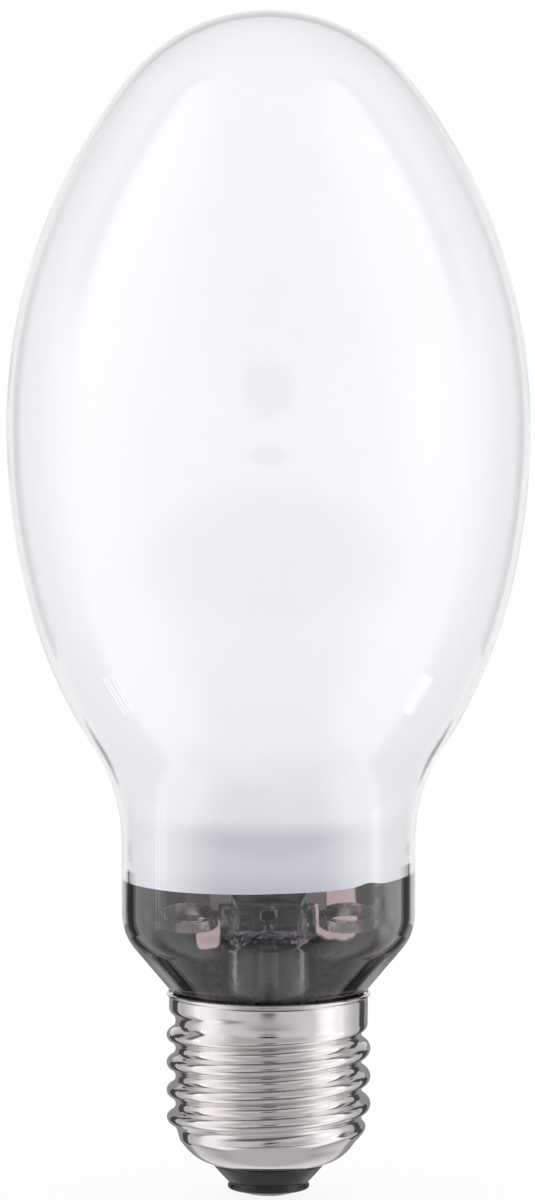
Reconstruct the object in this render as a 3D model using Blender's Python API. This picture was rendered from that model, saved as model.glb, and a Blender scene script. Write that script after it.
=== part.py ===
"""High pressure sodium lamp: a coated elliptical bulb on a screw cap, standing upright on the Z axis.

Sizes are in millimetres and are turned into metres where the meshes are made.
The origin is the flat tip of the solder pip under the cap. +X is the right-hand side seen from the
front, and the front looks towards -Y.
"""

import math

import bmesh
import bpy
from mathutils import Matrix, Vector

MM = 0.001
WELD = 0.000001
SMOOTH_ANGLE = math.radians(50.0)

# Facets
BULB_SEGMENTS = 28
CAP_SEGMENTS = 24
STEM_SEGMENTS = 20
CONTACT_SEGMENTS = 16
SMALL_SEGMENTS = 12
TINY_SEGMENTS = 8

# Clearance between pieces that touch in the real lamp
SEAT = 0.3
# Extra room where flat facets face each other across a curve
FACET_ROOM = 0.25

# Cap: screw shell
CAP_HEIGHT = 26.75
LIP_RADIUS = 13.2
LIP_DEPTH = 0.55
SKIRT_RADIUS = 12.85
SHEET = 0.25
THREAD_CREST_RADIUS = 13.2
THREAD_ROOT_RADIUS = 12.04
THREAD_PITCH = 3.629
THREAD_CREST_ROUNDING = 1.0
THREAD_CREST_HEIGHT = 15.6
SKIRT_LENGTH = 3.85
THREAD_RUN_IN_LENGTH = 0.8
THREAD_RUN_OUT = 6.2
THREAD_RUN_OUT_LENGTH = 4.4
THREAD_ROWS_PER_TURN = 6
BOWL_RADIUS = 6.0
BOWL_CENTRE_HEIGHT = 10.1
BOWL_MOUTH_RADIUS = 7.5
BOWL_STEPS = 6
SIDE_HOLE_BELOW_LIP = 2.15

# Cap: black glass insulator and contacts
INSULATOR_TOP_BELOW_BOWL_CENTRE = 2.5
INSULATOR_TOP_WALL = 1.5
INSULATOR_TOP_DISH = 1.0
INSULATOR_BORE_RADIUS = 1.2
INSULATOR_WAIST_RADIUS = 5.1
INSULATOR_WAIST_FLARE = 0.5
BOSS_RADIUS = 5.3
BOSS_HEIGHT = 1.0
CONTACT_RADIUS = 4.4
CONTACT_RECESS = 0.4
CONTACT_THICKNESS = 0.35
CONTACT_DROP = 0.84
CONTACT_ABOVE_TIP = 0.15
SOLDER_RADIUS = 1.9
SOLDER_FLAT_RADIUS = 1.2
SOLDER_HEIGHT = 0.5
SIDE_SOLDER_RADIUS = 1.4
SIDE_SOLDER_HEIGHT = 0.7
SIDE_SOLDER_SHOULDER_RADIUS = 0.85
SIDE_SOLDER_SHOULDER_HEIGHT = 0.55

# Outer bulb, as a chain of tangent arcs from the cap to the dome
GLASS_WALL = 0.9
MOUTH_BELOW_LIP = 6.75
MOUTH_FILLET_RADIUS = 2.0
CONE_ANGLE = math.radians(40.0)
SHOULDER_RADIUS = 6.9
NECK_RADIUS = 19.0
NECK_LENGTH = 9.3
NECK_FILLET_RADIUS = 23.2
TAPER_RADIUS = 63.0
LOWER_SIDE_RADIUS = 92.0
LOWER_SIDE_ANGLE = math.radians(14.2)
BULB_RADIUS = 33.8
UPPER_SIDE_RADIUS = 72.4
DOME_RADIUS = 23.1

# White coating inside the bulb
COATING_THICKNESS = 0.3
COATING_ABOVE_SHOULDER = 5.2

# Capping cement
CEMENT_TOP_BELOW_LIP = 0.85
CEMENT_HEIGHT = 2.8
CEMENT_CHAMFER_HEIGHT = 1.0

# Stem
STEM_RADIUS = 6.2
STEM_WALL = 0.9
STEM_LENGTH = 18.0
STEM_DRAWN_LENGTH = 1.35
PINCH_LENGTH = 4.4
PINCH_HALF_THICKNESS = 2.2
PINCH_EDGE = 0.4
PINCH_SWELL = 0.22
PINCH_ROOF_THICKNESS = 3.8
EXHAUST_HOLE_RADIUS = 1.0
EXHAUST_BORE_RADIUS = 0.8
EXHAUST_HOLE_BELOW_TOP = 1.4
EXHAUST_TUBE_RADIUS = 1.7
EXHAUST_TUBE_WALL = 0.5
EXHAUST_TIP_BELOW_MOUTH = 5.0
EXHAUST_TIP_LENGTH = 2.5

# Lead-in wires
LEAD_RADIUS = 0.3
LEAD_INSIDE_STEM = 0.7
LEAD_INSIDE_STRIP = 0.5
LEAD_TOP_ABOVE_PINCH = 3.2
LEAD_BELOW_MOUTH = 3.6
LEAD_BELOW_EXHAUST_TIP = 4.5
LEAD_BEND_RADIUS = 0.8
WIRE_SLACK = 0.15

# Support strips and getters
STRIP_WIDTH = 2.6
STRIP_THICKNESS = 0.4
STRIP_OFFSET = 6.1
STRIP_BARE_LENGTH = 1.4
HOLDER_WIDTH = 1.1
HOLDER_THICKNESS = 0.3
HOLDER_RISE = 4.6
GETTER_RING_RADIUS = 3.4
GETTER_BAND = 1.0
GETTER_HEIGHT = 1.5
GETTER_WALL = 0.3
GETTER_BELOW_PINCH_TOP = 1.75
GETTER_TILT = math.radians(12.0)

# Frame
FRAME_ROD_RADIUS = 0.9
FRAME_ROD_OFFSET = 10.0
FRAME_FOOT_OVERLAP = 4.0
FRAME_KNEE_RISE = 9.0
FRAME_KNEE_SLOPE = 2.0
FRAME_TOP_CLEARANCE = 3.0
FRAME_BEND_RADIUS = 3.0
STRAP_WIDTH = 2.4
STRAP_THICKNESS = 0.4
SPRING_WIDTH = 3.0
SPRING_THICKNESS = 0.3
SPRING_START = 1.0
SPRING_REACH = 7.0
SPRING_RISE = 0.8
SPRING_CONTACT_ANGLES = (math.radians(48.0), math.radians(55.0), math.radians(62.0))

# Arc tube
ARC_TUBE_RADIUS = 2.9
ARC_TUBE_BORE_RADIUS = 2.2
ARC_TUBE_LENGTH = 56.0
PLUG_LENGTH = 3.0
SEAL_RADIUS = 2.4
SEAL_THICKNESS = 0.8
FEEDTHROUGH_RADIUS = 0.7
FEEDTHROUGH_OUTSIDE = 8.0
ELECTRODE_RADIUS = 0.35
ELECTRODE_LENGTH = 7.0
ELECTRODE_COIL_RADIUS = 0.85
ELECTRODE_COIL_LENGTH = 2.4
ELECTRODE_COIL_TURNS = 3
PELLET_RADIUS = 0.45
PELLET_OFFSET = 1.4

FULL_TURN = 2.0 * math.pi

# Places that follow from the sizes above
THREAD_RUN_IN = CAP_HEIGHT - SKIRT_LENGTH
SIDE_HOLE_HEIGHT = CAP_HEIGHT - SIDE_HOLE_BELOW_LIP
MOUTH_HEIGHT = CAP_HEIGHT - MOUTH_BELOW_LIP
MOUTH_RADIUS = THREAD_ROOT_RADIUS - SHEET - 2.0 * (SEAT + LEAD_RADIUS) - FACET_ROOM
CONTACT_HOLE_RADIUS = SOLDER_RADIUS + SEAT
CONTACT_DISH = CONTACT_DROP * (1.0 - (CONTACT_HOLE_RADIUS / CONTACT_RADIUS) ** 2)
CONTACT_RIM_HEIGHT = CONTACT_ABOVE_TIP + CONTACT_DISH + CONTACT_THICKNESS
BOSS_BOTTOM_HEIGHT = CONTACT_RIM_HEIGHT - CONTACT_RECESS
INSULATOR_WAIST_HEIGHT = BOSS_BOTTOM_HEIGHT + BOSS_HEIGHT
INSULATOR_TOP_HEIGHT = BOWL_CENTRE_HEIGHT - INSULATOR_TOP_BELOW_BOWL_CENTRE
PINCH_TOP_HEIGHT = MOUTH_HEIGHT + STEM_LENGTH
EXHAUST_TIP_HEIGHT = MOUTH_HEIGHT - EXHAUST_TIP_BELOW_MOUTH
LEAD_LOW_HEIGHT = MOUTH_HEIGHT - LEAD_BELOW_MOUTH
LEAD_CENTRE_HEIGHT = EXHAUST_TIP_HEIGHT - LEAD_BELOW_EXHAUST_TIP
LEAD_OFFSET = STEM_RADIUS - STEM_WALL - LEAD_RADIUS - LEAD_INSIDE_STEM
LEAD_SPREAD = STRIP_OFFSET - LEAD_INSIDE_STRIP
STRIP_FOOT_HEIGHT = PINCH_TOP_HEIGHT + SEAT
FRAME_FOOT_HEIGHT = PINCH_TOP_HEIGHT + LEAD_TOP_ABOVE_PINCH + STRIP_BARE_LENGTH
STRIP_TOP_HEIGHT = FRAME_FOOT_HEIGHT + FRAME_FOOT_OVERLAP


# Scene and materials


def clear_scene():
    for obj in list(bpy.data.objects):
        bpy.data.objects.remove(obj, do_unlink=True)


def make_material(name, color, roughness, metallic=0.0, alpha=1.0):
    mat = bpy.data.materials.new(name)
    mat.use_nodes = True
    shader = mat.node_tree.nodes["Principled BSDF"]
    shader.inputs["Base Color"].default_value = (*color, 1.0)
    shader.inputs["Roughness"].default_value = roughness
    shader.inputs["Metallic"].default_value = metallic
    shader.inputs["Alpha"].default_value = alpha
    mat.diffuse_color = (*color, alpha)
    return mat


def add_mesh(name, bm, mat):
    """Makes an object from a closed bmesh in millimetres."""
    bmesh.ops.scale(bm, vec=(MM, MM, MM), verts=bm.verts)
    bmesh.ops.remove_doubles(bm, verts=bm.verts, dist=WELD)
    bmesh.ops.recalc_face_normals(bm, faces=bm.faces)
    mesh = bpy.data.meshes.new(name)
    bm.to_mesh(mesh)
    bm.free()
    mesh.shade_smooth()
    mesh.set_sharp_from_angle(angle=SMOOTH_ANGLE)
    obj = bpy.data.objects.new(name, mesh)
    bpy.context.scene.collection.objects.link(obj)
    mesh.materials.append(mat)
    return obj


def make_cutter(name, bm):
    obj = add_mesh(name, bm, make_material(name, (0.8, 0.1, 0.1), 0.5))
    obj.hide_render = True
    obj.display_type = "WIRE"
    return obj


def cut(obj, cutter):
    modifier = obj.modifiers.new("cut_" + cutter.name, "BOOLEAN")
    modifier.operation = "DIFFERENCE"
    modifier.object = cutter


# Shapes


def turned(outline, segments, closed=True):
    """Spins (radius, height) points about Z: a closed loop, or a run whose ends lie on the axis."""
    bm = bmesh.new()
    verts = [bm.verts.new((radius, 0.0, height)) for radius, height in outline]
    ends = verts[1:] + verts[:1] if closed else verts[1:]
    edges = [bm.edges.new(pair) for pair in zip(verts, ends)]
    bmesh.ops.spin(
        bm,
        geom=verts + edges,
        cent=(0.0, 0.0, 0.0),
        axis=(0.0, 0.0, 1.0),
        angle=FULL_TURN,
        steps=segments,
        use_merge=True,
    )
    return bm


def lofted(sections, segments):
    """Joins elliptical sections (height, half width, half depth) in order, and caps both ends."""
    bm = bmesh.new()
    rings = []
    for height, half_x, half_y in sections:
        angles = [FULL_TURN * i / segments for i in range(segments)]
        points = [(half_x * math.cos(a), half_y * math.sin(a), height) for a in angles]
        rings.append([bm.verts.new(point) for point in points])
    for lower, upper in zip(rings, rings[1:]):
        for i in range(segments):
            j = (i + 1) % segments
            bm.faces.new((lower[i], lower[j], upper[j], upper[i]))
    bm.faces.new(rings[0])
    bm.faces.new(rings[-1])
    return bm


def rod(start, end, radius, segments):
    """A straight round bar between two points."""
    bm = bmesh.new()
    start, end = Vector(start), Vector(end)
    turn = (end - start).to_track_quat("Z", "Y").to_matrix().to_4x4()
    place = Matrix.Translation((start + end) / 2.0) @ turn
    bmesh.ops.create_cone(
        bm,
        cap_ends=True,
        segments=segments,
        radius1=radius,
        radius2=radius,
        depth=(end - start).length,
        matrix=place,
    )
    return bm


def block(low, high):
    """A box between two corners."""
    bm = bmesh.new()
    bmesh.ops.create_cube(bm, size=1.0)
    low, high = Vector(low), Vector(high)
    bmesh.ops.scale(bm, vec=high - low, verts=bm.verts)
    bmesh.ops.translate(bm, vec=(low + high) / 2.0, verts=bm.verts)
    return bm


def ribbon(path, thickness, width, along):
    """A strip of sheet: a run of points, thickened in its own plane and extruded sideways.

    The plane is XZ when along is "Y" and YZ when along is "X"; points are (across, height).
    """
    sides = []
    for i, (across, height) in enumerate(path):
        before = Vector(path[max(i - 1, 0)])
        after = Vector(path[min(i + 1, len(path) - 1)])
        heading = (after - before).normalized()
        normal = Vector((-heading.y, heading.x)) * thickness / 2.0
        here = Vector((across, height))
        sides.append((here + normal, here - normal))
    outline = [side[0] for side in sides] + [side[1] for side in reversed(sides)]
    bm = bmesh.new()
    if along == "Y":
        verts = [bm.verts.new((point.x, -width / 2.0, point.y)) for point in outline]
        shift = Vector((0.0, width, 0.0))
    else:
        verts = [bm.verts.new((-width / 2.0, point.x, point.y)) for point in outline]
        shift = Vector((width, 0.0, 0.0))
    last = len(outline) - 1
    faces = []
    for i in range(len(path) - 1):
        faces.append(bm.faces.new((verts[i], verts[i + 1], verts[last - i - 1], verts[last - i])))
    made = bmesh.ops.extrude_face_region(bm, geom=faces)
    far_side = [item for item in made["geom"] if isinstance(item, bmesh.types.BMVert)]
    bmesh.ops.translate(bm, vec=shift, verts=far_side)
    return bm


def moved(bm, offset):
    bmesh.ops.translate(bm, vec=offset, verts=bm.verts)
    return bm


def rounded_path(corners, bend_radius, steps=3):
    """Replaces each inner corner of a route with an arc."""
    points = [Vector(corners[0])]
    for before, corner, after in zip(corners, corners[1:], corners[2:]):
        corner = Vector(corner)
        back = (Vector(before) - corner).normalized()
        ahead = (Vector(after) - corner).normalized()
        half = back.angle(ahead) / 2.0
        reach = bend_radius / math.tan(half)
        centre = corner + (back + ahead).normalized() * bend_radius / math.sin(half)
        first = corner + back * reach - centre
        last = corner + ahead * reach - centre
        for i in range(steps + 1):
            points.append(centre + first.slerp(last, i / steps).normalized() * bend_radius)
    points.append(Vector(corners[-1]))
    return points


def add_wire(name, points, radius, mat, roundness=1):
    """A wire as a bevelled curve through the points."""
    curve = bpy.data.curves.new(name, "CURVE")
    curve.dimensions = "3D"
    curve.bevel_depth = radius * MM
    curve.bevel_resolution = roundness
    curve.use_fill_caps = True
    spline = curve.splines.new("POLY")
    spline.points.add(len(points) - 1)
    for target, point in zip(spline.points, points):
        target.co = (*(Vector(point) * MM), 1.0)
    spline.use_smooth = True
    obj = bpy.data.objects.new(name, curve)
    bpy.context.scene.collection.objects.link(obj)
    curve.materials.append(mat)
    return obj


def smoothstep(low, high, value):
    t = min(max((value - low) / (high - low), 0.0), 1.0)
    return t * t * (3.0 - 2.0 * t)


# Outline of the bulb


def arc_run(start, radius, first, last, steps, side):
    """Points (radius, height, slope) on an arc going up from start; slope is the normal's elevation.

    side is 1 where the glass bulges outwards and -1 in a hollow.
    """
    points = []
    for i in range(1, steps + 1):
        slope = first + (last - first) * i / steps
        r = start[0] + side * radius * (math.cos(slope) - math.cos(first))
        z = start[1] + side * radius * (math.sin(slope) - math.sin(first))
        points.append((r, z, slope))
    return points


def cone_radius_at(height):
    """Outer radius of the neck's cone, which seats against the cap's lip."""
    at_lip = LIP_RADIUS - SHEET - SEAT / math.cos(CONE_ANGLE)
    return at_lip + (height - CAP_HEIGHT) * math.tan(CONE_ANGLE)


def cone_height_at(radius):
    return CAP_HEIGHT + (radius - cone_radius_at(CAP_HEIGHT)) / math.tan(CONE_ANGLE)


def shoulder_start_radius():
    return NECK_RADIUS - SHOULDER_RADIUS * (1.0 - math.cos(CONE_ANGLE))


def neck_foot_height():
    return cone_height_at(shoulder_start_radius()) + SHOULDER_RADIUS * math.sin(CONE_ANGLE)


def bulb_curve():
    """The bulb's outer line from its mouth to the top of the dome, as (radius, height, slope)."""
    tuck = MOUTH_FILLET_RADIUS * math.tan(CONE_ANGLE / 2.0)
    curve = [(MOUTH_RADIUS, MOUTH_HEIGHT, 0.0)]
    curve.append((MOUTH_RADIUS, cone_height_at(MOUTH_RADIUS) - tuck, 0.0))
    curve += arc_run(curve[-1], MOUTH_FILLET_RADIUS, 0.0, -CONE_ANGLE, 2, -1)
    curve.append((shoulder_start_radius(), cone_height_at(shoulder_start_radius()), -CONE_ANGLE))
    curve += arc_run(curve[-1], SHOULDER_RADIUS, -CONE_ANGLE, 0.0, 3, 1)
    curve.append((NECK_RADIUS, curve[-1][1] + NECK_LENGTH, 0.0))
    spread = BULB_RADIUS - NECK_RADIUS - LOWER_SIDE_RADIUS * (1.0 - math.cos(LOWER_SIDE_ANGLE))
    reach = NECK_FILLET_RADIUS + TAPER_RADIUS * math.cos(LOWER_SIDE_ANGLE) - spread
    taper_angle = math.acos(reach / (NECK_FILLET_RADIUS + TAPER_RADIUS))
    curve += arc_run(curve[-1], NECK_FILLET_RADIUS, 0.0, -taper_angle, 3, -1)
    curve += arc_run(curve[-1], TAPER_RADIUS, -taper_angle, -LOWER_SIDE_ANGLE, 2, 1)
    curve += arc_run(curve[-1], LOWER_SIDE_RADIUS, -LOWER_SIDE_ANGLE, 0.0, 2, 1)
    dome_angle = math.acos((UPPER_SIDE_RADIUS - BULB_RADIUS) / (UPPER_SIDE_RADIUS - DOME_RADIUS))
    curve += arc_run(curve[-1], UPPER_SIDE_RADIUS, 0.0, dome_angle, 4, 1)
    curve += arc_run(curve[-1], DOME_RADIUS, dome_angle, math.pi / 2.0, 4, 1)
    return curve


def inset_line(curve, depth):
    """The curve moved inwards along its normals, as (radius, height), ending on the axis."""
    line = [(r - depth * math.cos(slope), z - depth * math.sin(slope)) for r, z, slope in curve]
    line[-1] = (0.0, line[-1][1])
    return line


CURVE = bulb_curve()
LIGHT_CENTRE_HEIGHT = max(CURVE)[1]
BULB_TOP_HEIGHT = CURVE[-1][1]
DOME_CENTRE_HEIGHT = BULB_TOP_HEIGHT - DOME_RADIUS


def add_outer_bulb(mat):
    outer = inset_line(CURVE, 0.0)
    inner = inset_line(CURVE, GLASS_WALL)
    inner[0] = (inner[0][0], MOUTH_HEIGHT)
    outline = list(reversed(outer)) + inner
    return add_mesh("outer_bulb", turned(outline, BULB_SEGMENTS, closed=False), mat)


def add_coating(mat):
    edge_height = neck_foot_height() + COATING_ABOVE_SHOULDER
    depth = GLASS_WALL + SEAT
    above = [point for point in CURVE if point[1] > edge_height]
    edge = [(NECK_RADIUS, edge_height, 0.0)]
    outer = inset_line(edge + above, depth)
    inner = inset_line(edge + above, depth + COATING_THICKNESS)
    outline = list(reversed(outer)) + inner
    return add_mesh("diffusing_coating", turned(outline, BULB_SEGMENTS, closed=False), mat)


# Cap


def thread_wave(turns):
    """Height of the rolled thread between 0 in its root and 1 on its crest, from two tangent arcs."""
    depth = THREAD_CREST_RADIUS - THREAD_ROOT_RADIUS
    half_pitch = THREAD_PITCH / 2.0
    flank = 2.0 * math.atan2(depth, half_pitch)
    both_radii = half_pitch / math.sin(flank)
    root_rounding = both_radii - THREAD_CREST_ROUNDING
    along = abs(turns - round(turns)) * THREAD_PITCH
    if along < THREAD_CREST_ROUNDING * math.sin(flank):
        drop = THREAD_CREST_ROUNDING - math.sqrt(THREAD_CREST_ROUNDING**2 - along**2)
        return 1.0 - drop / depth
    rest = half_pitch - along
    return (root_rounding - math.sqrt(max(root_rounding**2 - rest**2, 0.0))) / depth


def bowl_radius_at(height):
    """Radius of the plain shell under the thread: a cylinder that rounds in to the bottom."""
    drop = min(max(BOWL_CENTRE_HEIGHT - height, 0.0), BOWL_RADIUS)
    return THREAD_ROOT_RADIUS - BOWL_RADIUS + math.sqrt(BOWL_RADIUS**2 - drop**2)


def shell_radius_at(height, angle):
    """Outer radius of the threaded part of the shell."""
    turns = (height - THREAD_CREST_HEIGHT) / THREAD_PITCH - angle / FULL_TURN
    root_height = height + (math.floor(turns) + 0.5 - turns) * THREAD_PITCH
    run_in_end = THREAD_RUN_IN + THREAD_RUN_IN_LENGTH
    groove = 1.0 - smoothstep(THREAD_RUN_IN, run_in_end, root_height)
    to_skirt = smoothstep(THREAD_RUN_IN - THREAD_PITCH / 2.0, THREAD_RUN_IN, height)
    crest = THREAD_CREST_RADIUS + (SKIRT_RADIUS - THREAD_CREST_RADIUS) * to_skirt
    depth = (crest - THREAD_ROOT_RADIUS) * smoothstep(
        THREAD_RUN_OUT, THREAD_RUN_OUT + THREAD_RUN_OUT_LENGTH, height
    )
    return bowl_radius_at(height) + depth * (1.0 - groove * (1.0 - thread_wave(turns)))


def shell_rows():
    """Heights of the shell's rows from the bowl's mouth to the top of the thread."""
    low_angle = math.acos((BOWL_MOUTH_RADIUS - THREAD_ROOT_RADIUS + BOWL_RADIUS) / BOWL_RADIUS)
    angles = [low_angle * (1.0 - i / BOWL_STEPS) for i in range(BOWL_STEPS)]
    rows = [BOWL_CENTRE_HEIGHT - BOWL_RADIUS * math.sin(angle) for angle in angles]
    rows = [height for height in rows if height < THREAD_RUN_OUT + THREAD_PITCH / 4.0]
    step = THREAD_PITCH / THREAD_ROWS_PER_TURN
    top = THREAD_RUN_IN + THREAD_RUN_IN_LENGTH + THREAD_PITCH / 4.0
    count = math.ceil((top - rows[-1]) / step)
    start = rows[-1]
    rows += [start + (top - start) * i / count for i in range(1, count + 1)]
    return rows


def add_cap_shell(mat):
    """A rolled sheet: its outer face row by row, thickened inwards, with a hole for the side wire."""
    bm = bmesh.new()
    angles = [FULL_TURN * i / CAP_SEGMENTS for i in range(CAP_SEGMENTS)]
    rings = []
    for height in shell_rows():
        radii = [shell_radius_at(height, angle) for angle in angles]
        rings.append((height, radii))
    lip = [
        (CAP_HEIGHT - LIP_DEPTH, SKIRT_RADIUS),
        (CAP_HEIGHT - LIP_DEPTH / 2.0, LIP_RADIUS),
        (CAP_HEIGHT, LIP_RADIUS),
    ]
    rings += [(height, [radius] * CAP_SEGMENTS) for height, radius in lip]
    rows = []
    for height, radii in rings:
        row = [bm.verts.new((r * math.cos(a), r * math.sin(a), height)) for r, a in zip(radii, angles)]
        rows.append(row)
    for lower, upper in zip(rows, rows[1:]):
        for i in range(CAP_SEGMENTS):
            j = (i + 1) % CAP_SEGMENTS
            bm.faces.new((lower[i], lower[j], upper[j], upper[i]))
    obj = add_mesh("cap_shell", bm, mat)
    sheet = obj.modifiers.new("sheet", "SOLIDIFY")
    sheet.thickness = SHEET * MM
    sheet.offset = -1.0
    low = (0.0, MOUTH_RADIUS, SIDE_HOLE_HEIGHT)
    high = (0.0, SKIRT_RADIUS + SIDE_SOLDER_HEIGHT, SIDE_HOLE_HEIGHT)
    cut(obj, make_cutter("side_hole_cutter", rod(low, high, LEAD_RADIUS + SEAT, TINY_SEGMENTS)))
    return obj


def insulator_seat(height):
    """Outer radius of the insulator inside the bowl, clear of the sheet."""
    inside = BOWL_RADIUS - SHEET - SEAT
    return THREAD_ROOT_RADIUS - BOWL_RADIUS + math.sqrt(inside**2 - (BOWL_CENTRE_HEIGHT - height) ** 2)


def add_insulator(mat):
    """Black glass moulded into the bottom of the shell, with a bore for the wire and a dished foot."""
    inside = BOWL_RADIUS - SHEET - SEAT
    throat = BOWL_MOUTH_RADIUS - SEAT
    low_angle = math.acos((throat - THREAD_ROOT_RADIUS + BOWL_RADIUS) / inside)
    high_angle = math.asin((BOWL_CENTRE_HEIGHT - INSULATOR_TOP_HEIGHT) / inside)
    brim = insulator_seat(INSULATOR_TOP_HEIGHT) - INSULATOR_TOP_WALL
    outline = [(INSULATOR_BORE_RADIUS, INSULATOR_TOP_HEIGHT - INSULATOR_TOP_DISH)]
    outline.append((brim, INSULATOR_TOP_HEIGHT))
    for i in range(4):
        angle = high_angle + (low_angle - high_angle) * i / 3
        radius = THREAD_ROOT_RADIUS - BOWL_RADIUS + inside * math.cos(angle)
        outline.append((radius, BOWL_CENTRE_HEIGHT - inside * math.sin(angle)))
    mouth = BOWL_CENTRE_HEIGHT - BOWL_RADIUS * math.sin(
        math.acos((BOWL_MOUTH_RADIUS - THREAD_ROOT_RADIUS + BOWL_RADIUS) / BOWL_RADIUS)
    )
    outline.append((throat, mouth - SHEET))
    flare = INSULATOR_WAIST_FLARE
    outline.append((INSULATOR_WAIST_RADIUS + flare, INSULATOR_WAIST_HEIGHT + flare))
    outline.append((INSULATOR_WAIST_RADIUS, INSULATOR_WAIST_HEIGHT))
    outline.append((BOSS_RADIUS, INSULATOR_WAIST_HEIGHT - SEAT))
    outline.append((BOSS_RADIUS, BOSS_BOTTOM_HEIGHT + SEAT))
    outline.append((CONTACT_RADIUS + SEAT, BOSS_BOTTOM_HEIGHT))
    outline.append((CONTACT_RADIUS + SEAT, CONTACT_RIM_HEIGHT + SEAT))
    outline.append((INSULATOR_BORE_RADIUS, CONTACT_RIM_HEIGHT + SEAT))
    return add_mesh("cap_insulator", turned(outline, CONTACT_SEGMENTS), mat)


def contact_height_at(radius):
    """Underside of the dished contact plate."""
    return CONTACT_RIM_HEIGHT - CONTACT_THICKNESS - CONTACT_DROP * (1.0 - (radius / CONTACT_RADIUS) ** 2)


def add_centre_contact(mat):
    middle = (CONTACT_RADIUS + CONTACT_HOLE_RADIUS) / 2.0
    radii = [CONTACT_RADIUS, middle, CONTACT_HOLE_RADIUS]
    under = [(radius, contact_height_at(radius)) for radius in radii]
    over = [(radius, height + CONTACT_THICKNESS) for radius, height in reversed(under)]
    return add_mesh("centre_contact", turned(under + over, CONTACT_SEGMENTS), mat)


def add_centre_solder(mat):
    """The pip in the contact plate's hole: its flat tip is the origin."""
    outline = [(0.0, SOLDER_HEIGHT), (SOLDER_RADIUS, SOLDER_HEIGHT), (SOLDER_FLAT_RADIUS, 0.0), (0.0, 0.0)]
    return add_mesh("centre_solder", turned(outline, SMALL_SEGMENTS, closed=False), mat)


def add_side_solder(mat):
    """A drop on the back of the skirt, over the end of the side wire."""
    outline = [
        (0.0, SIDE_SOLDER_HEIGHT),
        (SIDE_SOLDER_SHOULDER_RADIUS, SIDE_SOLDER_SHOULDER_HEIGHT),
        (SIDE_SOLDER_RADIUS, 0.0),
        (0.0, 0.0),
    ]
    bm = turned(outline, SMALL_SEGMENTS, closed=False)
    place = Matrix.Translation((0.0, SKIRT_RADIUS + SEAT, SIDE_HOLE_HEIGHT)) @ Matrix.Rotation(
        -math.pi / 2.0, 4, "X"
    )
    bm.transform(place)
    return add_mesh("shell_solder", bm, mat)


def add_cement(mat):
    """A ring in the wedge between the neck's cone and the skirt, with a slot for the side wire."""
    top = CAP_HEIGHT - CEMENT_TOP_BELOW_LIP
    foot = top - CEMENT_HEIGHT
    outside = SKIRT_RADIUS - SHEET - SEAT
    beside_cone = SEAT / math.cos(CONE_ANGLE)
    mouth = MOUTH_RADIUS + SEAT
    outline = [
        (outside, top),
        (outside, foot + CEMENT_CHAMFER_HEIGHT),
        ((mouth + outside) / 2.0, foot),
        (mouth, foot),
        (mouth, cone_height_at(MOUTH_RADIUS) - beside_cone),
        (min(cone_radius_at(top) + beside_cone, outside - SEAT), top),
    ]
    obj = add_mesh("capping_cement", turned(outline, CAP_SEGMENTS), mat)
    half = LEAD_RADIUS + SEAT
    low = (-half, MOUTH_RADIUS, foot - SEAT)
    high = (half, SKIRT_RADIUS, SIDE_HOLE_HEIGHT + half)
    cut(obj, make_cutter("cement_slot_cutter", block(low, high)))
    return obj


# Stem and what it carries


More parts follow.
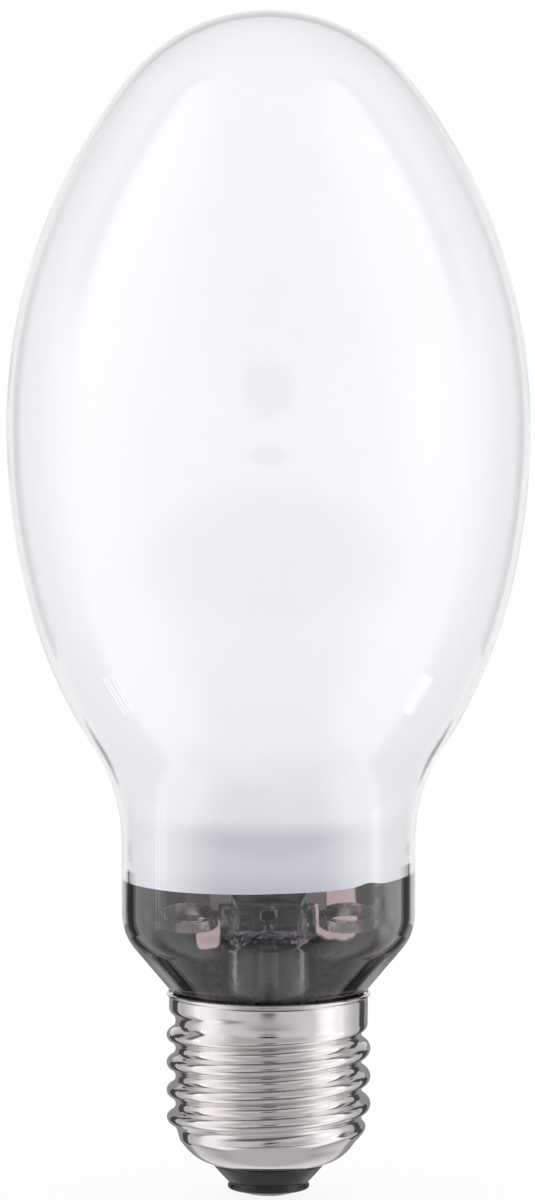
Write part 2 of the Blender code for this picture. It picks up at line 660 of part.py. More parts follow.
def add_stem(mat):
    """A flared tube drawn in to a flat pinch, open below, with the exhaust hole and the wires' holes."""
    base = PINCH_TOP_HEIGHT - PINCH_LENGTH
    roof = PINCH_TOP_HEIGHT - PINCH_ROOF_THICKNESS
    bore = STEM_RADIUS - STEM_WALL
    rim = MOUTH_HEIGHT - SEAT
    flare = MOUTH_RADIUS - STEM_RADIUS
    round_height = base - STEM_DRAWN_LENGTH
    half = PINCH_HALF_THICKNESS
    sections = [
        (PINCH_TOP_HEIGHT, STEM_RADIUS - PINCH_EDGE, half - PINCH_EDGE),
        (PINCH_TOP_HEIGHT - PINCH_EDGE, STEM_RADIUS, half),
        (roof + STEM_WALL, STEM_RADIUS, half + PINCH_SWELL),
        (base, STEM_RADIUS, (STEM_RADIUS + half) / 2.0),
        (round_height, STEM_RADIUS, STEM_RADIUS),
    ]
    for i in range(4):
        angle = math.pi / 2.0 * i / 3
        radius = MOUTH_RADIUS - flare * math.cos(angle)
        sections.append((rim + flare * (1.0 - math.sin(angle)), radius, radius))
    for i in range(4):
        angle = math.pi / 2.0 * (1.0 - i / 3)
        radius = MOUTH_RADIUS - (flare + STEM_WALL) * math.cos(angle)
        sections.append((rim + flare - (flare + STEM_WALL) * math.sin(angle), radius, radius))
    lead_room = LEAD_OFFSET + LEAD_RADIUS + SEAT + WIRE_SLACK
    sections.append((round_height, bore, bore))
    sections.append((base, bore, (bore + half) / 2.0 - SEAT))
    sections.append((roof, lead_room, EXHAUST_TUBE_RADIUS + SEAT))
    obj = add_mesh("stem_glass", lofted(sections, STEM_SEGMENTS), mat)
    hole_height = PINCH_TOP_HEIGHT - EXHAUST_HOLE_BELOW_TOP
    through = Vector((0.0, STEM_RADIUS, 0.0))
    centre = Vector((0.0, 0.0, hole_height))
    cross = rod(centre - through, centre + through, EXHAUST_HOLE_RADIUS, TINY_SEGMENTS)
    cut(obj, make_cutter("exhaust_hole_cutter", cross))
    rise = rod((0.0, 0.0, roof - STEM_WALL), centre, EXHAUST_BORE_RADIUS, TINY_SEGMENTS)
    cut(obj, make_cutter("exhaust_bore_cutter", rise))
    for side, label in ((-1, "left"), (1, "right")):
        low = (side * LEAD_OFFSET, 0.0, roof - STEM_WALL)
        high = (side * LEAD_OFFSET, 0.0, PINCH_TOP_HEIGHT + STEM_WALL)
        hole = rod(low, high, LEAD_RADIUS + SEAT, TINY_SEGMENTS)
        cut(obj, make_cutter("lead_hole_cutter_" + label, hole))
    return obj


def add_exhaust_tube(mat):
    """The pumping tube, drawn to a closed tip below."""
    top = PINCH_TOP_HEIGHT - PINCH_ROOF_THICKNESS - SEAT
    bore = EXHAUST_TUBE_RADIUS - EXHAUST_TUBE_WALL
    neck = EXHAUST_TIP_HEIGHT + EXHAUST_TIP_LENGTH
    outline = [
        (0.0, EXHAUST_TIP_HEIGHT),
        (EXHAUST_TUBE_WALL, EXHAUST_TIP_HEIGHT + EXHAUST_TUBE_WALL / 2.0),
        (EXHAUST_TUBE_RADIUS, neck),
        (EXHAUST_TUBE_RADIUS, top),
        (bore, top),
        (bore, neck),
        (0.0, EXHAUST_TIP_HEIGHT + EXHAUST_TIP_LENGTH / 2.0),
    ]
    return add_mesh("exhaust_tube", turned(outline, SMALL_SEGMENTS, closed=False), mat)


def lead_top_route(side):
    """The upper end of a lead-in wire: up through the pinch, then out behind its strip."""
    leave = PINCH_TOP_HEIGHT + SEAT
    jog = LEAD_SPREAD - LEAD_OFFSET
    return [
        (side * LEAD_SPREAD, 0.0, PINCH_TOP_HEIGHT + LEAD_TOP_ABOVE_PINCH),
        (side * LEAD_SPREAD, 0.0, leave + jog),
        (side * LEAD_OFFSET, 0.0, leave),
    ]


def add_side_lead(mat):
    """From the left strip down the stem, round under the bulb's mouth and out to the shell."""
    beside_mouth = MOUTH_RADIUS + SEAT + LEAD_RADIUS
    corners = lead_top_route(-1) + [
        (-LEAD_OFFSET, 0.0, LEAD_LOW_HEIGHT),
        (0.0, beside_mouth, LEAD_LOW_HEIGHT),
        (0.0, beside_mouth, SIDE_HOLE_HEIGHT),
        (0.0, SKIRT_RADIUS, SIDE_HOLE_HEIGHT),
    ]
    return add_wire("lead_in_wire_left", rounded_path(corners, LEAD_BEND_RADIUS, 2), LEAD_RADIUS, mat)


def add_centre_lead(mat):
    """From the right strip down the stem and through the insulator to the centre contact."""
    corners = lead_top_route(1) + [
        (LEAD_OFFSET, 0.0, LEAD_CENTRE_HEIGHT + LEAD_OFFSET),
        (0.0, 0.0, LEAD_CENTRE_HEIGHT),
        (0.0, 0.0, SOLDER_HEIGHT + SEAT),
    ]
    return add_wire("lead_in_wire_right", rounded_path(corners, LEAD_BEND_RADIUS, 2), LEAD_RADIUS, mat)


def strip_plane():
    """Y of the support strips' middle, in front of the lead-in wires."""
    return -(LEAD_RADIUS + SEAT + STRIP_THICKNESS / 2.0)


def add_support_strip(side, label, mat):
    path = [(strip_plane(), STRIP_FOOT_HEIGHT), (strip_plane(), STRIP_TOP_HEIGHT)]
    bm = ribbon(path, STRIP_THICKNESS, STRIP_WIDTH, "X")
    return add_mesh("support_strip_" + label, moved(bm, (side * STRIP_OFFSET, 0.0, 0.0)), mat)


def getter_edge():
    """Distance from the axis to the middle of the getter ring's band, beside the pinch."""
    return STEM_RADIUS + SEAT + GETTER_BAND / 2.0


def add_getter(side, label, ring_mat, holder_mat):
    """A trough ring, tipped to the front, under a short tab behind the strip."""
    height = PINCH_TOP_HEIGHT - GETTER_BELOW_PINCH_TOP
    outside = GETTER_RING_RADIUS + GETTER_BAND / 2.0
    inside = GETTER_RING_RADIUS - GETTER_BAND / 2.0
    half = GETTER_HEIGHT / 2.0
    outline = [
        (outside, -half),
        (outside, half),
        (GETTER_RING_RADIUS, GETTER_WALL - half),
        (inside, half),
        (inside, -half),
    ]
    bm = turned(outline, CONTACT_SEGMENTS)
    centre = (side * (getter_edge() + GETTER_RING_RADIUS), 0.0, height)
    bm.transform(Matrix.Translation(centre) @ Matrix.Rotation(GETTER_TILT, 4, "X"))
    add_mesh("getter_ring_" + label, bm, ring_mat)
    plane = strip_plane() + STRIP_THICKNESS / 2.0 + SEAT + HOLDER_THICKNESS / 2.0
    foot = height + half + SEAT
    path = [(plane, foot), (plane, foot + HOLDER_RISE)]
    tab = moved(ribbon(path, HOLDER_THICKNESS, HOLDER_WIDTH, "X"), (side * getter_edge(), 0.0, 0.0))
    add_mesh("getter_holder_" + label, tab, holder_mat)


# Frame


def rod_plane():
    """Y of the frame rod, behind the left strip."""
    return strip_plane() + STRIP_THICKNESS / 2.0 + SEAT + FRAME_ROD_RADIUS


def arc_end(side, inwards):
    """Height of a point of the arc tube's end, measured inwards from the end face."""
    return LIGHT_CENTRE_HEIGHT + side * (ARC_TUBE_LENGTH / 2.0 - inwards)


def frame_top():
    return arc_end(1, -FEEDTHROUGH_OUTSIDE) + FRAME_TOP_CLEARANCE


def add_frame_rod(mat):
    knee = FRAME_FOOT_HEIGHT + FRAME_KNEE_RISE
    climb = (FRAME_ROD_OFFSET - STRIP_OFFSET) * FRAME_KNEE_SLOPE
    corners = [
        (-STRIP_OFFSET, rod_plane(), FRAME_FOOT_HEIGHT),
        (-STRIP_OFFSET, rod_plane(), knee),
        (-FRAME_ROD_OFFSET, rod_plane(), knee + climb),
        (-FRAME_ROD_OFFSET, rod_plane(), frame_top()),
        (FRAME_ROD_OFFSET / 2.0, rod_plane(), frame_top()),
    ]
    return add_wire("frame_rod", rounded_path(corners, FRAME_BEND_RADIUS), FRAME_ROD_RADIUS, mat)


def add_upper_strap(mat):
    """Joins the frame rod to the upper feedthrough."""
    height = arc_end(1, -FEEDTHROUGH_OUTSIDE / 2.0)
    path = [
        (-FRAME_ROD_OFFSET + FRAME_ROD_RADIUS + SEAT, height),
        (-FEEDTHROUGH_RADIUS - SEAT, height),
    ]
    return add_mesh("upper_connector_strap", ribbon(path, STRAP_THICKNESS, STRAP_WIDTH, "Y"), mat)


def add_lower_strap(mat):
    """Joins the right strip to the lower feedthrough."""
    beside = FEEDTHROUGH_RADIUS + SEAT + STRAP_THICKNESS / 2.0
    end = arc_end(-1, -FEEDTHROUGH_OUTSIDE / 2.0)
    start = STRIP_TOP_HEIGHT + SEAT
    path = [
        (STRIP_OFFSET, start),
        (STRIP_OFFSET, start + (end - start) / 3.0),
        (beside, end - STRAP_WIDTH),
        (beside, end),
    ]
    bm = moved(ribbon(path, STRAP_THICKNESS, STRAP_WIDTH, "Y"), (0.0, strip_plane(), 0.0))
    return add_mesh("lower_connector_strap", bm, mat)


def add_dome_spring(side, label, mat):
    """A leaf that springs from the frame's top to the inside of the dome."""
    start = frame_top() + FRAME_ROD_RADIUS + SEAT + SPRING_THICKNESS / 2.0
    inside = DOME_RADIUS - GLASS_WALL - SEAT - COATING_THICKNESS
    reach = inside - SEAT - FACET_ROOM - SPRING_THICKNESS / 2.0
    path = [(side * SPRING_START, start), (side * SPRING_REACH, start + SPRING_RISE)]
    for angle in SPRING_CONTACT_ANGLES:
        path.append((side * reach * math.sin(angle), DOME_CENTRE_HEIGHT + reach * math.cos(angle)))
    bm = moved(ribbon(path, SPRING_THICKNESS, SPRING_WIDTH, "Y"), (0.0, rod_plane(), 0.0))
    return add_mesh("dome_spring_" + label, bm, mat)


# Arc tube


def ring_outline(outside, inside, low, high):
    return [(outside, low), (outside, high), (inside, high), (inside, low)]


def add_arc_tube(mat):
    outline = ring_outline(ARC_TUBE_RADIUS, ARC_TUBE_BORE_RADIUS, arc_end(-1, 0.0), arc_end(1, 0.0))
    return add_mesh("arc_tube", turned(outline, SMALL_SEGMENTS), mat)


def add_electrode(side, label, mat):
    """A tungsten shank with a ridged winding near its tip."""
    start = PLUG_LENGTH + SEAT
    tip = start + ELECTRODE_LENGTH
    wound = tip - ELECTRODE_COIL_LENGTH - ELECTRODE_RADIUS * 2.0
    turn = ELECTRODE_COIL_LENGTH / ELECTRODE_COIL_TURNS
    outline = [(0.0, start), (ELECTRODE_RADIUS, start), (ELECTRODE_RADIUS, wound)]
    for i in range(ELECTRODE_COIL_TURNS):
        outline.append((ELECTRODE_COIL_RADIUS, wound + turn * (i + 0.5)))
        outline.append((ELECTRODE_RADIUS + SEAT / 2.0, wound + turn * (i + 1)))
    outline += [(ELECTRODE_RADIUS, tip), (0.0, tip)]
    outline = [(radius, arc_end(side, inwards)) for radius, inwards in outline]
    return add_mesh("electrode_" + label, turned(outline, TINY_SEGMENTS, closed=False), mat)


def add_arc_tube_end(side, label, mats):
    """Plug, sealing ring, feedthrough and electrode at one end of the arc tube."""
    clear = FEEDTHROUGH_RADIUS + SEAT
    inner_face = arc_end(side, PLUG_LENGTH)
    plug = ring_outline(ARC_TUBE_BORE_RADIUS - SEAT, clear, arc_end(side, 0.0), inner_face)
    add_mesh("end_plug_" + label, turned(plug, SMALL_SEGMENTS), mats["alumina"])
    near = arc_end(side, -SEAT)
    far = arc_end(side, -SEAT - SEAL_THICKNESS)
    seal = ring_outline(SEAL_RADIUS, clear, near, far)
    add_mesh("seal_ring_" + label, turned(seal, SMALL_SEGMENTS), mats["frit"])
    ends = sorted((arc_end(side, -FEEDTHROUGH_OUTSIDE), inner_face))
    bar = rod((0.0, 0.0, ends[0]), (0.0, 0.0, ends[1]), FEEDTHROUGH_RADIUS, TINY_SEGMENTS)
    add_mesh("feedthrough_" + label, bar, mats["niobium"])
    add_electrode(side, label, mats["tungsten"])


def add_pellet(mat):
    bm = bmesh.new()
    bmesh.ops.create_icosphere(bm, subdivisions=1, radius=PELLET_RADIUS)
    height = arc_end(-1, PLUG_LENGTH) + SEAT + PELLET_RADIUS
    return add_mesh("amalgam_pellet", moved(bm, (PELLET_OFFSET, 0.0, height)), mat)


def make_materials():
    return {
        "glass": make_material("clear_glass", (0.9, 0.92, 0.93), 0.03, alpha=0.3),
        "coating": make_material("white_coating", (0.87, 0.87, 0.9), 0.7),
        "nickel": make_material("nickel_plate", (0.75, 0.73, 0.72), 0.18, 1.0),
        "black_glass": make_material("black_glass", (0.012, 0.012, 0.014), 0.12),
        "contact": make_material("contact_plate", (0.3, 0.29, 0.28), 0.35, 1.0),
        "solder": make_material("solder", (0.45, 0.45, 0.47), 0.35, 1.0),
        "cement": make_material("cement", (0.3, 0.28, 0.25), 0.9),
        "strip": make_material("strip_steel", (0.62, 0.6, 0.58), 0.3, 1.0),
        "wire": make_material("wire", (0.5, 0.48, 0.46), 0.35, 1.0),
        "getter": make_material("getter_steel", (0.2, 0.19, 0.19), 0.4, 1.0),
        "alumina": make_material("alumina", (0.88, 0.86, 0.82), 0.4),
        "frit": make_material("sealing_frit", (0.75, 0.72, 0.65), 0.6),
        "niobium": make_material("niobium", (0.42, 0.41, 0.42), 0.3, 1.0),
        "tungsten": make_material("tungsten", (0.25, 0.25, 0.26), 0.4, 1.0),
        "amalgam": make_material("amalgam", (0.6, 0.6, 0.63), 0.25, 1.0),
    }


def build():
    clear_scene()
    mats = make_materials()
    add_outer_bulb(mats["glass"])
    add_coating(mats["coating"])
    add_cap_shell(mats["nickel"])
    add_insulator(mats["black_glass"])
    add_centre_contact(mats["contact"])
    add_centre_solder(mats["solder"])
    add_side_solder(mats["solder"])
    add_cement(mats["cement"])
    add_stem(mats["glass"])
    add_exhaust_tube(mats["glass"])
    add_side_lead(mats["wire"])
    add_centre_lead(mats["wire"])
    for side, label in ((-1, "left"), (1, "right")):
        add_support_strip(side, label, mats["strip"])
        add_getter(side, label, mats["getter"], mats["strip"])
        add_dome_spring(side, label, mats["strip"])
    add_frame_rod(mats["wire"])
    add_upper_strap(mats["strip"])
    add_lower_strap(mats["strip"])
    add_arc_tube(mats["alumina"])
    for side, label in ((-1, "lower"), (1, "upper")):
        add_arc_tube_end(side, label, mats)
    add_pellet(mats["amalgam"])


build()
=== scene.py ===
"""Looks of a high pressure sodium lamp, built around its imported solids.

Sizes are in millimetres and are turned into metres where the meshes are made. Angles round the lamp
are measured from +X towards +Y, and the camera looks from -Y.
"""

import math

import bmesh
import bpy
from mathutils import Matrix, Vector, noise


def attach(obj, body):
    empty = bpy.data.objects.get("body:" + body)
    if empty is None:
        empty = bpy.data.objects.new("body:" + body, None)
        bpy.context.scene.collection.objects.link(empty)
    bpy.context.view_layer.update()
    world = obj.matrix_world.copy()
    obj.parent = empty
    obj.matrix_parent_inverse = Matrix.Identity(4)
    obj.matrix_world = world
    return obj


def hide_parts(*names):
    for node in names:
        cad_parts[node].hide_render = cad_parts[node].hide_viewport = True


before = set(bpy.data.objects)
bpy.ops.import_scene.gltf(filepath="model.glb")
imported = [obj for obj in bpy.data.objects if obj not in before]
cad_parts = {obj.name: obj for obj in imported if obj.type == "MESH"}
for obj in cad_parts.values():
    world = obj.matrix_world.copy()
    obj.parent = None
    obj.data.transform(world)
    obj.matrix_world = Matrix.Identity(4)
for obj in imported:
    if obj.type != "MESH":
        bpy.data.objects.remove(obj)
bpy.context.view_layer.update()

MM = 0.001
RIGHT_ANGLE = math.pi / 2.0
FULL_TURN = 2.0 * math.pi
BODY = "root"

# Picture and camera
IMAGE_HEIGHT = 1200
PIXELS_PER_MM = 7.747
CAMERA_DISTANCE = 2000.0
CAMERA_ELEVATION = math.radians(7.3)
CAMERA_AIM = (-0.13, 0.0, 77.74)
CLIP_START = 50.0
CLIP_END = 20000.0
SENSOR_WIDTH = 36.0

# Facets of the fine meshes
BULB_SEGMENTS = 160
CAP_SEGMENTS = 192
STEM_SEGMENTS = 144
FOOT_SEGMENTS = 96
SMALL_SEGMENTS = 48
BORE_SEGMENTS = 24
WIRE_SEGMENTS = 16
ARC_STEPS = 14
BOWL_STEPS = 24
LIP_STEPS = 8
CORNER_STEPS = 4
BEND_STEPS = 6
PINCH_STEPS = 8
STEM_BORE_STEPS = 5
CARD_STEPS = 12
SMOOTH_ANGLE = math.radians(45.0)
CORNER_SHARE = 0.45
WELD = 0.0005

# Cap; BOWL_OFFSET and BOWL_HEIGHT are the centre of the arc of its rounded bottom
CAP_HEIGHT = 26.75
LIP_RADIUS = 13.2
LIP_DEPTH = 0.55
SKIRT_RADIUS = 12.85
SHEET = 0.25
CREST_RADIUS = 13.2
ROOT_RADIUS = 12.04
THREAD_PITCH = 3.629
CREST_ROUNDING = 1.0
CREST_HEIGHT = 15.6
RUN_IN = 22.9
RUN_IN_LENGTH = 0.8
RUN_OUT = 6.2
RUN_OUT_LENGTH = 4.4
THREAD_ROW = 0.15
INNER_ROW = 0.3
INNER_ROW_LIFT = 0.05
SKIRT_BULGE = 0.02
SKIRT_MIDDLE = 24.8
SKIRT_HALF = 1.4
BOWL_RADIUS = 6.0
BOWL_OFFSET = ROOT_RADIUS - BOWL_RADIUS
BOWL_HEIGHT = 10.1
BOWL_MOUTH_RADIUS = 7.5
BOWL_MOUTH_ANGLE = math.acos((BOWL_MOUTH_RADIUS - BOWL_OFFSET) / BOWL_RADIUS)

# The skirt's last row and the lip's first row, in lip depths below the top
SKIRT_LAST_ROW = 1.6
LIP_FIRST_ROW = 1.5

# Bulb
GLASS_WALL = 0.9
MOUTH_RADIUS = 10.34
MOUTH_HEIGHT = 20.0
MOUTH_FILLET_RADIUS = 2.0
CONE_ANGLE = math.radians(40.0)
CONE_SEAT = 0.3
CONE_RADIUS_AT_LIP = LIP_RADIUS - SHEET - CONE_SEAT / math.cos(CONE_ANGLE)
SHOULDER_RADIUS = 6.9
NECK_RADIUS = 19.0
NECK_LENGTH = 9.3
NECK_FILLET_RADIUS = 23.2
TAPER_RADIUS = 63.0
LOWER_SIDE_RADIUS = 92.0
LOWER_SIDE_ANGLE = math.radians(14.2)
BULB_RADIUS = 33.8
UPPER_SIDE_RADIUS = 72.4
DOME_RADIUS = 23.1

# Coating and getter film, both on the inside of the glass
COATING_GAP = 0.03
COATING_THICKNESS = 0.12
COATING_EDGE_ROWS = 7
EDGE_HEIGHT = 42.05
EDGE_TILT = 0.49
EDGE_BUMP_HEIGHT = 0.42
EDGE_BUMP_ANGLE = math.radians(-45.5)
EDGE_BUMP_WIDTH = math.radians(5.5)
EDGE_WANDER = 0.08
EDGE_WANDER_RATE = 2.5
EDGE_WANDER_PLACE = 3.0
FILM_FOOT_RADIUS = 11.6
FILM_THICKNESS = 0.06
FILM_IN_GLASS = 0.03
FILM_BELOW_EDGE = 0.02
FILM_CONE_ROWS = 12
FILM_EDGE_ROWS = 4

# Foot of the cap
SEAT = 0.3
INSULATOR_TOP_HEIGHT = 7.6
INSULATOR_TOP_WALL = 1.5
INSULATOR_TOP_DISH = 1.0
INSULATOR_BORE_RADIUS = 1.2
WAIST_RADIUS = 5.1
WAIST_FLARE = 0.5
INSULATOR_ROUNDING = 0.25
BOSS_RADIUS = 5.3
BOSS_HEIGHT = 1.0
SOLDER_RADIUS = 1.9
SOLDER_FLAT_RADIUS = 1.2
SOLDER_HEIGHT = 0.5
SOLDER_ROUNDING = 0.3
CONTACT_RADIUS = 4.4
CONTACT_HOLE_RADIUS = SOLDER_RADIUS + SEAT
CONTACT_RECESS = 0.4
CONTACT_THICKNESS = 0.35
CONTACT_DROP = 0.84
CONTACT_ABOVE_TIP = 0.15
CONTACT_ROUNDING = 0.1
SIDE_SOLDER_RADIUS = 1.4
SIDE_SOLDER_HEIGHT = 0.7
SIDE_SOLDER_WOBBLE = 0.06
SIDE_HOLE_HEIGHT = 24.6
CEMENT_TOP_BELOW_LIP = 0.85
CEMENT_HEIGHT = 2.8
CEMENT_CHAMFER_HEIGHT = 1.0

# Stem; the powers square up the pinch's ovals
STEM_RADIUS = 6.2
STEM_WALL = 0.9
STEM_DRAWN_LENGTH = 1.35
PINCH_TOP = 38.0
PINCH_LENGTH = 4.4
PINCH_HALF_THICKNESS = 2.2
PINCH_EDGE = 0.4
PINCH_NARROWING = 0.1
PINCH_SWELL = 0.22
ROOF_THICKNESS = 3.8
PINCH_TOP_POWER = 0.6
PINCH_ROOF_POWER = 0.7
PINCH_BASE_POWER = 0.85
CRUMPLE_DEPTH = 0.3
CRUMPLE_FADE = 1.0
CRUMPLE_RATES = Vector((1.1, 0.6, 1.3))
CRUMPLE_COARSE = 0.6
CRUMPLE_FINE = 0.5
CRUMPLE_FINE_RATE = 2.6
CRUMPLE_NARROWING = 0.02
EXHAUST_HOLE_RADIUS = 1.0
EXHAUST_BORE_RADIUS = 0.8
EXHAUST_HOLE_BELOW_TOP = 1.4
TUBE_RADIUS = 1.7
TUBE_WALL = 0.5
TUBE_ROUNDING = 0.2
TUBE_TIP_HEIGHT = 15.0
TUBE_TIP_LENGTH = 2.5

# Wires, strips and getters
LEAD_RADIUS = 0.3
LEAD_OFFSET = 4.3
LEAD_SPREAD = 5.6
LEAD_TOP_ABOVE_PINCH = 3.2
LEAD_LOW_HEIGHT = 16.4
LEAD_CENTRE_HEIGHT = 10.5
LEAD_BEND = 0.8
WIRE_SLACK = 0.15
STRIP_WIDTH = 2.6
STRIP_THICKNESS = 0.4
STRIP_OFFSET = 6.1
STRIP_TOP_HEIGHT = 46.6
STRIP_PLANE = -(LEAD_RADIUS + SEAT + STRIP_THICKNESS / 2.0)
HOLDER_WIDTH = 1.1
HOLDER_THICKNESS = 0.3
HOLDER_RISE = 4.6
BAR_EDGE_SHARE = 0.25
BAR_EDGE_STEPS = 3
BAR_EDGE_PROFILE = 0.5
GETTER_RADIUS = 3.4
GETTER_BAND = 1.0
GETTER_HEIGHT = 1.5
GETTER_WALL = 0.3
GETTER_ROUNDING = 0.15
GETTER_BELOW_PINCH_TOP = 1.75
GETTER_TILT = math.radians(12.0)

# Floor
FLOOR_HALF = 4000.0
FLOOR_TONES = (0.88, 0.91)
FLOOR_WHITE_SHARE = 0.9

# Softboxes: name, place, width, height and radiance
SOFTBOX_AIM = (0.0, 0.0, 80.0)
SOFTBOXES = (
    ("softbox_left", (-1200.0, -60.0, 260.0), 700.0, 1100.0, 1.0),
    ("softbox_right", (1200.0, -60.0, 260.0), 700.0, 1100.0, 0.9),
    ("softbox_top", (0.0, -200.0, 1500.0), 900.0, 900.0, 0.3),
    ("softbox_front", (0.0, -1400.0, 330.0), 1400.0, 600.0, 0.7),
)
GLOW_PLACE = (0.0, -15.0, 58.0)
GLOW_RADIUS = 8.0
GLOW_POWER = 0.0025

# Cards near the lamp that only mirrors and glass show: sides, distance, first and last angle, foot,
# top and tone
LEFT = (-1,)
RIGHT = (1,)
BOTH = LEFT + RIGHT
CARDS = (
    (BOTH, 40.0, 24.4, 41.6, -14.0, 24.0, 0.07),
    (LEFT, 40.0, 17.6, 34.4, 24.0, 38.6, 0.07),
    (RIGHT, 40.0, 17.6, 34.4, 24.0, 39.5, 0.07),
    (LEFT, 160.0, 41.0, 52.0, 21.2, 240.0, 0.5),
    (RIGHT, 160.0, 41.0, 52.0, 22.0, 240.0, 0.5),
    (BOTH, 160.0, 55.5, 84.0, -90.0, 5.0, 0.38),
    (BOTH, 30.0, 36.0, 70.0, -8.0, 24.5, 0.3),
    (LEFT, 62.0, -10.5, -9.3, 26.0, 42.0, 2.2),
    (LEFT, 62.0, -4.8, -3.4, 26.0, 42.0, 2.2),
    (RIGHT, 62.0, -12.0, -3.5, 26.0, 42.0, 1.6),
)

# The studio as mirrors see it. Each tone belongs to a direction seen from above: -1 towards the
# camera, 0 to the sides, 1 straight behind the lamp.
SIDE_TONES = (
    (-1.0, 0.56), (-0.9, 0.64), (-0.75, 0.7), (-0.6, 0.72), (-0.48, 0.85), (-0.35, 1.0),
    (-0.2, 1.1), (0.08, 1.05), (0.18, 0.85), (0.32, 0.68), (0.53, 0.52), (0.75, 0.62),
    (0.88, 0.85), (1.0, 1.0),
)
UPPER_TONES = (
    (-1.0, 0.42), (-0.75, 0.5), (-0.5, 0.9), (-0.2, 1.05), (0.1, 1.05), (0.22, 0.12),
    (0.32, 0.14), (0.4, 0.42), (0.8, 0.42), (1.0, 0.65),
)
LOWER_TONES = (
    (-1.0, 0.4), (-0.8, 0.45), (-0.6, 0.8), (-0.4, 1.1), (0.15, 1.1), (0.3, 0.4),
    (0.5, 0.4), (0.75, 0.6), (1.0, 0.8),
)

# Steepness at which the upper, lower and straight up or down tones start and are reached
UPPER_RANGE = (0.02, 0.35)
LOWER_RANGE = (-0.6, -0.3)
POLE_RANGE = (0.8, 0.93)
POLE_TONE = 0.5
LEAST_FLATNESS = 0.01
WORLD_LIGHT = 0.98

# Dark things in front that mirrors show: height, half height, half width and tone
DARK_ZONES = ((0.127, 0.1, 0.2, 0.03), (-0.38, 0.18, 0.75, 0.12), (-0.109, 0.03, 0.16, 0.04))
DARK_ZONE_EDGE = (0.4, 1.6)
DARK_ZONE_DEPTH = (-0.1, 0.1)
DARK_ZONE_BEHIND = 4.0

# A brighter patch on the right
KEY_DIRECTION = (0.94, -0.34)
KEY_EDGE = (0.95, 0.995)
KEY_GAIN = 0.22

# Grains: the size of the features, and how much detail they have
BUBBLES = (0.35, 2.0)
PINCH_CRUMPLES = (1.3, 1.0)
COATING_CLOUDS = (9.0, 3.0)
POWDER = (0.12, 4.0)
METAL_MARKS = (0.25, 3.0)
GETTER_PATCHES = (1.0, 4.0)
BLACK_GLASS_MARKS = (1.5, 3.0)
FILM_RAGS = (2.0, 4.0)
FILM_SPECKS = (0.9, 4.0)
FLOOR_CLOUDS = (40.0, 4.0)
WAVE_DETAIL = 1.0
METAL_DETAIL = 4.0
DULL_DETAIL = 5.0
GRAIN_RANGE = (0.3, 0.7)

# Clear glass: tint, depth and size of the waves, share of bubbles and of the pinch's crumples
GLASSES = {
    "clear_glass": ((1.0, 1.0, 1.0), 0.02, 14.0, 0.0, 0.0),
    "stem_glass": ((0.93, 0.95, 1.0), 0.04, 3.0, 0.4, 9.0),
}
GLASS_IOR = 1.5
GLASS_FOR_LAMPS = (0.96, 0.965, 0.965)
CRUMPLES_LENGTH = 2.0

# Metals: colour, worn colour, roughness, size of the patches, stretch and depth of the marks
EVEN = (1.0, 1.0, 1.0)
METALS = {
    "nickel": ((0.83, 0.8, 0.795), (0.78, 0.73, 0.73), 0.045, 6.0, (1.0, 1.0, 12.0), 0.0015),
    # The contact's near-black and the solder's dark grey are partly oxide and partly painted shade
    "contact": ((0.1, 0.095, 0.09), (0.05, 0.048, 0.045), 0.35, 3.0, EVEN, 0.004),
    "solder": ((0.42, 0.42, 0.44), (0.26, 0.26, 0.27), 0.3, 1.0, EVEN, 0.02),
    "wire": ((0.55, 0.53, 0.5), (0.35, 0.33, 0.3), 0.3, 1.0, EVEN, 0.004),
    "strip": ((0.8, 0.78, 0.76), (0.6, 0.57, 0.55), 0.2, 2.0, (1.0, 1.0, 0.1), 0.004),
    "niobium": ((0.42, 0.41, 0.42), (0.3, 0.29, 0.3), 0.3, 1.0, EVEN, 0.004),
    "tungsten": ((0.25, 0.25, 0.26), (0.12, 0.12, 0.13), 0.4, 0.5, EVEN, 0.004),
    "amalgam": ((0.6, 0.6, 0.63), (0.4, 0.4, 0.44), 0.25, 0.5, EVEN, 0.004),
}
METAL_WORN = (0.45, 0.75)
METAL_ROUGH = (0.4, 0.8)
METAL_ROUGHER = (0.0, 0.1)

# Ceramic, frit and cement: colour, darker colour, roughness and size of the specks
DULLS = {
    "cement": ((0.16, 0.145, 0.13), (0.06, 0.055, 0.05), 0.9, 1.0),
    "alumina": ((0.9, 0.88, 0.84), (0.8, 0.77, 0.72), 0.35, 2.0),
    "frit": ((0.75, 0.72, 0.65), (0.55, 0.5, 0.44), 0.5, 0.6),
}
DULL_DARKER = (0.35, 0.7)
DULL_RELIEF = 0.05

# Solids that stay as they are, by the finish they get
PLAIN_SOLIDS = {
    "wire": ("frame_rod",),
    "strip": ("dome_spring_left", "dome_spring_right", "upper_connector_strap", "lower_connector_strap"),
    "alumina": ("arc_tube", "end_plug_lower", "end_plug_upper"),
    "frit": ("seal_ring_lower", "seal_ring_upper"),
    "niobium": ("feedthrough_lower", "feedthrough_upper"),
    "tungsten": ("electrode_lower", "electrode_upper"),
    "amalgam": ("amalgam_pellet",),
}

# Getter rings: fired metal and painted shade, rolled metal, and how far a face tips from upright between
# the two
GETTER_FIRED_AND_SHADED = ((0.03, 0.028, 0.028), (0.1, 0.09, 0.09))
GETTER_ROLLED = ((0.72, 0.64, 0.64), (0.58, 0.5, 0.5))
GETTER_SHADE_TILT = (0.35, 0.55)
GETTER_ROUGHNESS = (0.15, 0.3)
GETTER_RELIEF = 0.004

# Black glass
BLACK_GLASS_TONES = ((0.008, 0.008, 0.009), (0.02, 0.02, 0.022))
BLACK_GLASS_ROUGHNESS = (0.12, 0.25)
BLACK_GLASS_RELIEF = 0.03
